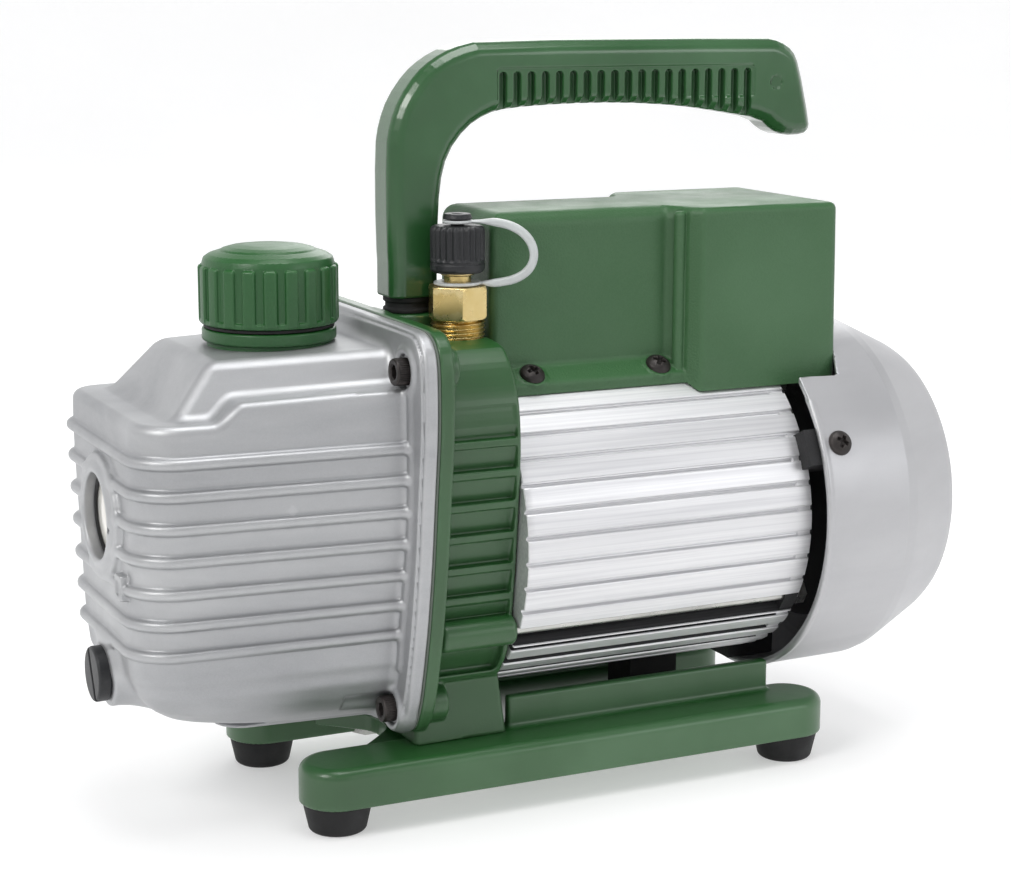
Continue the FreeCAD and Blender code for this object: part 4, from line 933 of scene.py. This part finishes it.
def motor_housing():
    prof = housing_profile()
    a = np.radians([p[0] for p in prof])
    r = np.array([p[1] for p in prof])
    n = len(a)
    xs = [57.3, 57.55, 57.9] + list(np.linspace(60, 155.4, 12)) + [155.8, 160.35, 160.6]
    ins = [0.45, 0.12, 0.0] + [0.0] * 12 + [0.0, 0.12, 0.45]
    V, F = [], []
    for x, q in zip(xs, ins):
        rr = (np.where(r < 48.0, r, np.maximum(r, 52.15)) if x > 155.6 else r) - q
        V.append(np.stack([np.full(n, x), rr * np.cos(a), AXZ + rr * np.sin(a)], 1))
    for x in (160.6, 57.3):
        V.append(np.stack([np.full(n, x), 44.0 * np.cos(a), AXZ + 44.0 * np.sin(a)], 1))
    m = len(V)
    for k in range(m):
        k2 = (k + 1) % m
        i = np.arange(n)
        j = (i + 1) % n
        F.append(np.stack([k * n + i, k * n + j, k2 * n + j, k2 * n + i], 1))
    V, F = np.concatenate(V), np.concatenate(F)
    me = mesh_from("housing_extrusion", to_row(V), F[:, ::-1])
    bm = bmesh.new()
    bm.from_mesh(me)
    bmesh.ops.recalc_face_normals(bm, faces=bm.faces)
    bm.to_mesh(me)
    bm.free()
    smooth_all(me)
    o = add_object("housing_extrusion", me, [BARE, CHANNEL_SHADOW])
    # Painted shadow: the floors of the bolt channels and of the lower fin grooves get the dark channel_shadow material.
    for q in me.polygons:
        c = q.center
        rr = math.hypot(c.y, c.z - AXZ / 1000) * 1000
        low = c.z * 1000 - AXZ < -22.0
        if 44.5 < rr < (51.9 if low else 51.0) and abs(q.normal.x) < 0.5:
            q.material_index = 1
    sharp_edges(me, 24.0)
    finish_piece(o, "pump_frame", ["motor_housing"])
    return o


def sharp_edges(me, deg):
    """Marks edges sharper than deg so that smooth shading stops there."""
    bm = bmesh.new()
    bm.from_mesh(me)
    lim = math.radians(deg)
    for e in bm.edges:
        e.smooth = not (len(e.link_faces) == 2 and e.calc_face_angle(0.0) > lim)
    bm.to_mesh(me)
    bm.free()


motor_housing()


def copies(name, f, lo, hi, h, mat, body, frames, keep=0.5, stand_for=()):
    """One small shape built once and placed at each (3x3, offset) frame, joined as one piece."""
    t = time.time()
    P, Q = nets(f, lo, hi, h)
    P = settle(f, P, h)
    me = mesh_from(name + "_unit", P, Q)
    o = add_object(name + "_unit", me)
    o.modifiers.new("Thin", "DECIMATE").ratio = keep
    dg = bpy.context.evaluated_depsgraph_get()
    new = bpy.data.meshes.new_from_object(o.evaluated_get(dg))
    bpy.data.objects.remove(o)
    new.calc_loop_triangles()
    n = len(new.vertices)
    co = np.empty(n * 3, np.float32)
    new.vertices.foreach_get("co", co)
    P = settle(f, co.reshape(-1, 3).astype(float), h, times=2)
    g = field_grad(f, P, max(0.03, h * 0.12))
    g /= np.maximum(np.linalg.norm(g, axis=1, keepdims=True), 1e-9)
    tri = np.empty(len(new.loop_triangles) * 3, np.int32)
    new.loop_triangles.foreach_get("vertices", tri)
    tri = tri.reshape(-1, 3)
    Vs, Fs, Gs = [], [], []
    for k, (R, T) in enumerate(frames):
        R = np.array(R, float)
        Vs.append(P @ R.T + np.array(T, float))
        Gs.append(g @ R.T)
        Fs.append(tri + k * n)
    me2 = mesh_from(name, to_row(np.concatenate(Vs)), np.concatenate(Fs))
    smooth_all(me2)
    me2.normals_split_custom_set_from_vertices(np.concatenate(Gs).astype(np.float32).tolist())
    o = add_object(name, me2, [mat])
    finish_piece(o, body, stand_for)
    print("%-22s %7d faces %5.1f s" % (name, len(me2.polygons), time.time() - t))
    return o


def basis(z, spin=0.0):
    """Columns: a frame whose third axis is z."""
    z = np.array(z, float)
    z /= np.linalg.norm(z)
    x = np.cross([0, 0, 1.0] if abs(z[2]) < 0.9 else [0, 1.0, 0], z)
    x /= np.linalg.norm(x)
    y = np.cross(z, x)
    c, s = math.cos(math.radians(spin)), math.sin(math.radians(spin))
    return np.stack([x * c + y * s, -x * s + y * c, z], 1)


def socket_head(X, Y, Z):
    """Axis +Z out of the head's face at z = 0; the head is 5 high."""
    rad = np.sqrt(X ** 2 + Y ** 2)
    a = np.arctan2(Y, X)
    knurl = 0.10 * np.cos(a * 40.0) * sstep((-0.5 - Z) / 0.6) * sstep((Z + 4.9) / 0.6)
    b = rmax(rad - 4.25 + 0.1 - knurl, np.abs(Z + 2.5) - 2.5, 0.55)
    b = np.minimum(b, rmax(rad - 2.5, np.abs(Z + 6.0) - 2.0, 0.0))
    hexd = np.maximum(np.abs(Y), np.maximum(np.abs(0.8660254 * X + 0.5 * Y), np.abs(0.8660254 * X - 0.5 * Y))) - 2.0
    b = rcut(b, rmax(hexd, np.abs(Z) - 2.7, 0.1), 0.3)
    return rcut(b, rmax(rad - 2.6, np.abs(Z - 0.6) - 0.95, 0.5), 0.15)


copies("casing_socket_screws", socket_head, (-4.6, -4.6, -8.2), (4.6, 4.6, 0.2), 0.24, BLACK_SCREW, "pump_frame",
       [(basis((-1, 0, 0), sp), (16.0, sy, sz)) for (sy, sz), sp in zip(SCREWS, (12, 38, 75, 21))], keep=0.4, stand_for=["casing_screws"])


def phillips(X, Y, Z):
    """Pan head seated on z = 0, 2.5 high, with a cross recess."""
    rad = np.sqrt(X ** 2 + Y ** 2)
    dome = np.sqrt(rad ** 2 + (Z + 3.4) ** 2) - 5.95
    b = rmax(rmax(rad - 4.25, dome, 0.7), -Z - 0.1, 0.2)
    b = np.minimum(b, rmax(rad - 1.9, np.abs(Z + 1.5) - 1.6, 0.0))
    w = 0.52 + 0.18 * np.clip(Z - 1.0, -1, 2)
    for u, v in ((X, Y), (Y, X)):
        b = rcut(b, rmax(rmax(np.abs(u) - w, np.abs(v) - (1.7 + 0.45 * np.clip(Z - 1.0, -1, 2)), 0.2), 0.85 - Z, 0.15), 0.15)
    return b


def box_screw_frames():
    out = []
    for k, (bx_, by_) in enumerate(BSC):
        s = 1.0 if by_ > 0 else -1.0
        n = np.array([0.0, s * 4.6, 7.2]) / 8.544
        p = np.array([bx_, by_ + 0.4 * s, 138.9 - (abs(by_) + 0.4 - 21) * 4.6 / 7.2])
        out.append((basis(n, 17 + 40 * k), p + n * 0.2))
    return out


copies("box_pan_screws", phillips, (-4.6, -4.6, -3.3), (4.6, 4.6, 2.9), 0.24, BLACK_SCREW, "pump_frame",
       box_screw_frames(), keep=0.4, stand_for=["box_screws"])


def cover_screw_frames():
    out = []
    for k, ang in enumerate((25.7, 154.3, 270.0)):
        ca, sa = math.cos(math.radians(ang)), math.sin(math.radians(ang))
        out.append((basis((0, ca, sa), 25 + 33 * k), (169.1, 60.75 * ca, AXZ + 60.75 * sa)))
    return out


copies("cover_pan_screws", phillips, (-4.6, -4.6, -3.3), (4.6, 4.6, 2.9), 0.24, BLACK_SCREW, "pump_frame",
       cover_screw_frames(), keep=0.4, stand_for=["fan_cover_screws"])


# --------------------------------------------------------------- oil filler
FX = -7.2


def filler_neck(X, Y, Z):
    R = np.sqrt((X - FX) ** 2 + Y ** 2)
    b = rmax(R - 19.4, slab(Z, 140.0, 151.0), 0.3)
    b = rmin(b, rmax(R - 20.9, slab(Z, 150.3, 154.2), 0.8), 0.4)
    a = np.arctan2(Y, X - FX)
    ph = (Z / 3.0 - a / (2 * math.pi)) % 1.0
    th = 1.1 * np.abs(ph - 0.5) * 2.0
    b = np.minimum(b, rmax(R - 17.3 + th * sstep((Z - 155) / 1.5), slab(Z, 153.5, 168.0), 0.6))
    return rcut(b, rmax(R - 14.6, np.abs(Z - 160) - 40.0, 0.0), 0.6)


sdf_piece("filler_neck_ring", filler_neck, (FX - 21.6, -21.6, 139.5), (FX + 21.6, 21.6, 168.5), 0.6, GREEN_C, "pump_frame",
          keep=0.45, stand_for=["filler_neck"])
CAPP = [(0, 179.8), (8, 179.6), (12.0, 179.1), (14.4, 178.4), (15.0, 177.9), (15.9, 177.7), (18.4, 176.9), (20.0, 175.8), (20.75, 174.2),
        (20.85, 170), (20.9, 157.0), (20.6, 155.6), (17.7, 155.6), (17.7, 170), (0, 170)]


def filler_cap(X, Y, Z):
    R = np.sqrt((X - FX) ** 2 + Y ** 2)
    a = np.arctan2(Y, X - FX)
    b = poly2(R, Z, CAPP + [(-3, 170), (-3, 179.8)])
    b = rmax(b, R - 21.0, 1.2)
    # raised grip pads with narrow grooves between them
    k = (a / math.radians(18) + 0.5)
    off = np.abs(k - np.floor(k) - 0.5) * math.radians(18) * R
    pad = rmax(rmax(R - 21.7, off - 2.05, 0.7), slab(Z, 155.9, 173.6), 0.9)
    pad = rmax(pad, 19.0 - R, 0.0)
    b = rmin(b, pad, 0.35)
    lip = rmax(rmax(R - 21.4, 18.0 - R, 0.2), slab(Z, 155.6, 157.4), 0.6)
    b = rmin(b, lip, 0.4)
    return b


sdf_piece("filler_cap_body", filler_cap, (FX - 22.4, -22.4, 155.2), (FX + 22.4, 22.4, 180.3), 0.5, GREEN_C, "filler_closure",
          keep=0.5, stand_for=["filler_cap"])


# ----------------------------------------------------------- intake fitting
IX, IY = 49.0, -18.0


def intake_fitting(X, Y, Z):
    dx, dy = X - IX, Y - IY
    R = np.sqrt(dx ** 2 + dy ** 2)
    a = np.arctan2(dy, dx)
    ph = (Z / 1.35 - a / (2 * math.pi)) % 1.0
    th = 1.0 * np.abs(ph - 0.5) * 2.0
    b = rmax(R - 8.7 + th, slab(Z, 144.0, 155.0), 0.4)
    b = np.minimum(b, rmax(R - 7.4, slab(Z, 152.0, 156.5), 0.2))
    c, s = math.cos(math.radians(15)), math.sin(math.radians(15))
    u, v = dx * c + dy * s, -dx * s + dy * c
    hexd = np.maximum(np.abs(v), np.maximum(np.abs(0.8660254 * u + 0.5 * v), np.abs(0.8660254 * u - 0.5 * v))) - 8.5
    cone = (R - 9.35) * 0.8 + (np.abs(Z - 160.7) - 5.0) * 0.6
    b = rmin(b, rmax(rmax(hexd, slab(Z, 155.4, 166.0), 0.35), cone, 0.3), 0.2)
    b = rmin(b, rmax(R - 4.3, slab(Z, 165.0, 170.6), 0.1), 0.5)
    b = rmin(b, rmax(R - 5.45, slab(Z, 169.2, 180.2), 0.5), 0.3)
    return rcut(b, rmax(R - 2.4, np.abs(Z - 160) - 40, 0.0), 0.3)


sdf_piece("intake_brass_fitting", intake_fitting, (IX - 10.2, IY - 10.2, 143.5), (IX + 10.2, IY + 10.2, 180.6), 0.3, BRASS,
          "pump_frame", keep=0.5, stand_for=["intake_fitting"])


def intake_cap(X, Y, Z):
    dx, dy = X - IX, Y - IY
    R = np.sqrt(dx ** 2 + dy ** 2)
    a = np.arctan2(dy, dx)
    flute = 0.28 * (1 - np.cos(a * 24)) * sstep((Z - 173.6) / 1.2)
    b = rmax(R - 8.6 + flute, slab(Z, 170.0, 184.7), 1.5)
    b = rcut(b, rmax(np.abs(R - 8.75) - 0.35, np.abs(Z - 173.2) - 0.35, 0.1), 0.2)
    return rcut(b, rmax(R - 5.8, slab(Z, 160.0, 181.8), 0.2), 0.5)


sdf_piece("intake_cap_body", intake_cap, (IX - 9.3, IY - 9.3, 169.5), (IX + 9.3, IY + 9.3, 185.2), 0.3, BLACK_P,
          "intake_closure", keep=0.5, stand_for=["intake_cap"])


def knob(X, Y, Z):
    R = np.sqrt((X - IX) ** 2 + (Y - IY) ** 2)
    b = rmax(R - 2.1, slab(Z, 184.3, 187.6), 0.1)
    b = rmin(b, rmax(R - (4.65 - 0.35 * (Z - 186.9)), slab(Z, 186.7, 188.4), 0.4), 0.3)
    return rmin(b, rmax(R - 1.7, slab(Z, 188.0, 188.6), 0.3), 0.3)


sdf_piece("cap_top_knob", knob, (IX - 5, IY - 5, 184.0), (IX + 5, IY + 5, 189.0), 0.2, BLACK_P,
          "intake_closure", keep=0.5, stand_for=["cap_knob"])
PTS_O = [(3.9, 185.5), (11.5, 185.5), (17.6, 184.0), (22.0, 180.6), (23.8, 176.0), (22.6, 171.6), (18.6, 168.5), (12.3, 167.0), (6.6, 167.0)]
PTS_I = [(6.6, 166.2), (12.5, 166.2), (19.1, 167.6), (23.5, 171.1), (24.8, 176.1), (22.9, 181.1), (18.1, 184.9), (11.7, 186.3), (3.9, 186.3)]
STRAP = chaikin(PTS_O + PTS_I, 2)


def tether(X, Y, Z):
    dx, dy = X - IX, Y - IY
    u = dx * 0.88 - dy * 0.475
    v = dx * 0.475 + dy * 0.88
    R = np.sqrt(dx ** 2 + dy ** 2)
    fat = 0.12 + 0.72 * sstep((u - 6.5) / 6.0)
    b = rmax(poly2(u, Z, STRAP) - fat, np.abs(v) - 1.55, 0.85)
    lo = rmax(rmax(R - 7.5, 4.45 - R, 0.2), slab(Z, 166.15, 167.15), 0.35)
    hi = rmax(rmax(R - 4.6, 2.35 - R, 0.2), slab(Z, 185.35, 186.4), 0.35)
    b = rmin(b, np.minimum(lo, hi), 0.4)
    return rcut(rcut(b, rmax(R - 4.4, np.abs(Z - 166) - 3, 0.0), 0.2), rmax(R - 2.3, np.abs(Z - 186) - 3, 0.0), 0.2)


teth = sdf_piece("cap_tether_strap", tether, (IX - 8, IY - 15.4, 164.9), (IX + 25.2, IY + 8, 187.7), 0.28, TETHER, None,
                 keep=0.5, stand_for=["cap_tether"])
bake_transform(teth)


# --------------------------------------------------------------- drain plug
def drain_plug(X, Y, Z):
    dy, dz = Y, Z - 49.0
    R = np.sqrt(dy ** 2 + dz ** 2)
    b = rmax(R - 8.7, slab(X, -67.2, -62.85), 0.9)
    b = np.minimum(b, rmax(R - 4.9, slab(X, -64.0, -50.5), 0.4))
    c, s = math.cos(math.radians(66)), math.sin(math.radians(66))
    w = -s * dy + c * dz
    b = rcut(b, rmax(np.abs(w) - 0.85, X + 65.3, 0.15), 0.25)
    b = rcut(b, rmax(rmax(R - 7.9, 5.4 - R, 0.0), -64.1 - X, 0.0), 0.1)
    return b


sdf_piece("drain_plug_head", drain_plug, (-67.8, -9.4, 39.6), (-50.0, 9.4, 58.4), 0.33, BLACK_P, "drain_closure",
          keep=0.5, stand_for=["drain_plug"])


# -------------------------------------------------------------- sight glass
def lens(X, Y, Z):
    R = np.sqrt(Y ** 2 + (Z - 99.0) ** 2)
    dome = np.sqrt(R ** 2 + (X + 62.0 - 62.0) ** 2) * 0 + ((-X - 62.0) + R ** 2 * 0.012)
    b = rmax(dome, rmax(R - 11.7, X + 57.2, 0.3), 0.5)
    return b


sdf_piece("sight_lens", lens, (-62.8, -12.4, 86.6), (-56.8, 12.4, 111.4), 0.4, LENS, "pump_frame",
          keep=0.5, stand_for=["sight_glass_lens"])


def lens_ring(X, Y, Z):
    R = np.sqrt(Y ** 2 + (Z - 99.0) ** 2)
    return rmax(rmax(R - 13.25, 11.6 - R, 0.2), slab(X, -61.1, -59.0), 0.45)


sdf_piece("sight_seal_ring", lens_ring, (-61.5, -13.6, 85.4), (-58.6, 13.6, 112.6), 0.33, SEAL, "pump_frame",
          keep=0.5, stand_for=["sight_glass_seal"])


# --------------------------------------------------------------- rubber feet
def foot(X, Y, Z):
    R = np.sqrt(X ** 2 + Y ** 2)
    side = (R - 8.9 - 2.1 * Z / 9.5) / 1.024
    b = rmax(rmax(side, -Z, 1.3), Z - 9.5, 0.35)
    b = rcut(b, rmax(np.abs(R - 11.2) - 0.4, np.abs(Z - 7.6) - 0.35, 0.1), 0.3)
    b = rcut(b, rmax(R - 4.8, np.abs(Z) - 4.5, 0.0), 0.5)
    return rcut(b, rmax(R - 2.5, np.abs(Z) - 20, 0.0), 0.2)


FEET = [(x, s * 35.0) for x in (0, 163.5) for s in (-1, 1)]
copies("rubber_foot_set", foot, (-11.8, -11.8, -0.3), (11.8, 11.8, 9.9), 0.45, RUBBER, "pump_frame",
       [(np.eye(3), (x, y, 0)) for x, y in FEET], keep=0.5, stand_for=["rubber_feet"])


# --------------------------------------------------- power inlet and switch
def inlet(X, Y, Z):
    y, z = Y - 13.0, Z - 170.0
    b = rmax(rmax(slab(y, -15.5, 15.5), slab(z, -11.8, 11.8), 2.2), slab(X, 182.0, 184.4), 0.7)
    b = rmin(b, rmax(rmax(slab(y, -13.9, 13.9), slab(z, -9.9, 9.9), 1.0), slab(X, 160.0, 182.5), 0.3), 0.2)
    rec = poly2(y, z, round_plan([(-12, -8), (12, -8), (12, 4), (8, 8), (-8, 8), (-12, 4)], [1.2] * 6, 4))
    b = rcut(b, rmax(rec, 167.0 - X, 0.4), 0.5)
    for py, pz in ((-7, -3), (7, -3), (0, 3)):
        b = np.minimum(b, rmax(rmax(np.abs(y - py) - 1.0, np.abs(z - pz) - 2.0, 0.3), slab(X, 160, 180.0), 0.6))
    return b


sdf_piece("inlet_block", inlet, (159.6, -3.0, 157.8), (184.8, 29.0, 182.2), 0.4, BLACK_M, "pump_frame",
          keep=0.5, stand_for=["power_inlet"])


def switch_frame(X, Y, Z):
    y, z = Y + 15.0, Z - 170.0
    b = rmax(rmax(slab(y, -12.0, 12.0), slab(z, -8.5, 8.5), 1.4), slab(X, 182.0, 183.6), 0.6)
    b = rmin(b, rmax(rmax(slab(y, -10.4, 10.4), slab(z, -6.9, 6.9), 0.6), slab(X, 166.0, 182.5), 0.3), 0.2)
    return rcut(b, rmax(rmax(slab(y, -9.2, 9.2), slab(z, -5.6, 5.6), 0.4), 173.0 - X, 0.2), 0.4)


sdf_piece("switch_bezel", switch_frame, (165.6, -27.4, 161.2), (184.0, -2.6, 178.8), 0.38, BLACK_M, "pump_frame",
          keep=0.5, stand_for=["switch_housing"])
RKP = round_plan([(-3.0, -4.0), (2.4, -7.6), (6.2, -7.0), (4.4, 0.0), (3.2, 7.4), (0.9, 7.6), (-3.0, 4.0)], [1, 1, 1.2, 9, 0.8, 0.8, 1], 5)


def rocker(X, Y, Z):
    b = rmax(poly2(X - 179.0, Y + 15.0, RKP), np.abs(Z - 170.0) - 5.2, 0.5)
    return rmin(b, rmax(np.sqrt((X - 179.0) ** 2 + (Y + 15.0) ** 2) - 1.0, np.abs(Z - 170.0) - 6.6, 0.1), 0.1)


sdf_piece("switch_rocker_key", rocker, (175.5, -23.2, 163.0), (185.8, -6.8, 177.0), 0.33, BLACK_P, "rocker",
          keep=0.5, stand_for=["switch_rocker"])
print("pieces %.1f s" % (time.time() - T0))
# ------------------------------------------------------- floor, light, camera
def sweep():
    """A wide paper floor that curves up into a wall all round."""
    bm = bmesh.new()
    prof = [(0.0, 0.0), (0.25, 0.0), (0.6, 0.0), (1.2, 0.0), (1.8, 0.0), (2.4, 0.0)]
    for k in range(1, 13):
        t = math.pi / 2 * k / 12
        prof.append((2.4 + 1.6 * math.sin(t), 1.6 - 1.6 * math.cos(t)))
    prof += [(4.0, 2.2), (4.0, 3.0)]
    n = 96
    rings = []
    for r, z in prof[1:]:
        rings.append([bm.verts.new((r * math.cos(2 * math.pi * i / n), r * math.sin(2 * math.pi * i / n), z)) for i in range(n)])
    c = bm.verts.new((0, 0, 0))
    for i in range(n):
        bm.faces.new((c, rings[0][i], rings[0][(i + 1) % n]))
    for a, b in zip(rings, rings[1:]):
        for i in range(n):
            bm.faces.new((a[i], b[i], b[(i + 1) % n], a[(i + 1) % n]))
    me = bpy.data.meshes.new("paper_sweep")
    bm.to_mesh(me)
    bm.free()
    smooth_all(me)
    k = Mat("floor_paper")
    col = k.ramp(k.noise(3, 3, 0.5), [(0.3, (0.60, 0.60, 0.60, 1)), (0.7, (0.63, 0.63, 0.63, 1))])
    k.set(col, 0.85, k.bump(k.noise(300, 2, 0.5), 0.1, 0.0001))
    # Painted light: the paper glows, more strongly towards the far side, in place of being lit; the glow also lights
    # the pump.
    k.p.inputs["Emission Color"].default_value = (1, 1, 1, 1)
    g = k.n.new("ShaderNodeSeparateXYZ")
    k.l.new(k.co, g.inputs[0])
    along = k.math("ADD", k.math("MULTIPLY", g.outputs[0], 0.43), k.math("MULTIPLY", g.outputs[1], 0.90))
    k.l.new(k.range(along, -1.2, 0.9, 0.22, 0.56), k.p.inputs["Emission Strength"])
    me.materials.append(k.m)
    o = add_object("paper_sweep", me)
    return o


sweep()
world = bpy.data.worlds.new("studio")
bpy.context.scene.world = world
world.use_nodes = True
bg = world.node_tree.nodes["Background"]
bg.inputs["Color"].default_value = (0.96, 0.97, 1.0, 1)
bg.inputs["Strength"].default_value = 0.42


def area(name, loc, at, size, power, color=(1, 1, 1), size_y=None):
    d = bpy.data.lights.new(name, "AREA")
    d.energy = power
    d.color = color
    d.size = size
    if size_y:
        d.shape = "RECTANGLE"
        d.size_y = size_y
    o = bpy.data.objects.new(name, d)
    bpy.context.scene.collection.objects.link(o)
    o.location = loc
    o.rotation_mode = "QUATERNION"
    o.rotation_quaternion = (Vector(at) - Vector(loc)).to_track_quat("-Z", "Y")
    return o


area("key", (-1.0, -0.45, 0.95), (0, 0, 0.1), 0.45, 6.0, (1.0, 0.99, 0.97))
area("fill", (0.75, -1.1, 0.55), (0.02, 0, 0.1), 0.5, 1.8, (0.97, 0.98, 1.0))
area("top", (0.05, -0.15, 1.25), (0, 0, 0.1), 0.7, 7.0)
area("rim", (0.6, 0.9, 0.7), (0, 0, 0.12), 0.7, 3.0)
cam_d = bpy.data.cameras.new("camera")
cam_d.sensor_fit = "HORIZONTAL"
cam_d.sensor_width = 36.0
cam_d.lens = 2280.5 / 1011.0 * 36.0
cam_d.clip_start, cam_d.clip_end = 0.02, 20.0
cam = bpy.data.objects.new("camera", cam_d)
bpy.context.scene.collection.objects.link(cam)
az, el, roll = math.radians(-25.49), math.radians(11.28), math.radians(0.13)
fwd = Vector((math.cos(el) * -math.sin(az), math.cos(el) * math.cos(az), -math.sin(el)))
right = fwd.cross(Vector((0, 0, 1))).normalized()
up = right.cross(fwd)
right, up = right * math.cos(roll) + up * math.sin(roll), up * math.cos(roll) - right * math.sin(roll)
cam.matrix_world = Matrix(((right.x, up.x, -fwd.x, -0.32034), (right.y, up.y, -fwd.y, -0.66598),
                           (right.z, up.z, -fwd.z, 0.25954), (0, 0, 0, 1)))
bpy.context.scene.camera = cam
bpy.context.scene.view_settings.view_transform = "Standard"
bpy.context.scene.view_settings.look = "None"
bpy.context.view_layer.update()
print("scene %.1f s" % (time.time() - T0))
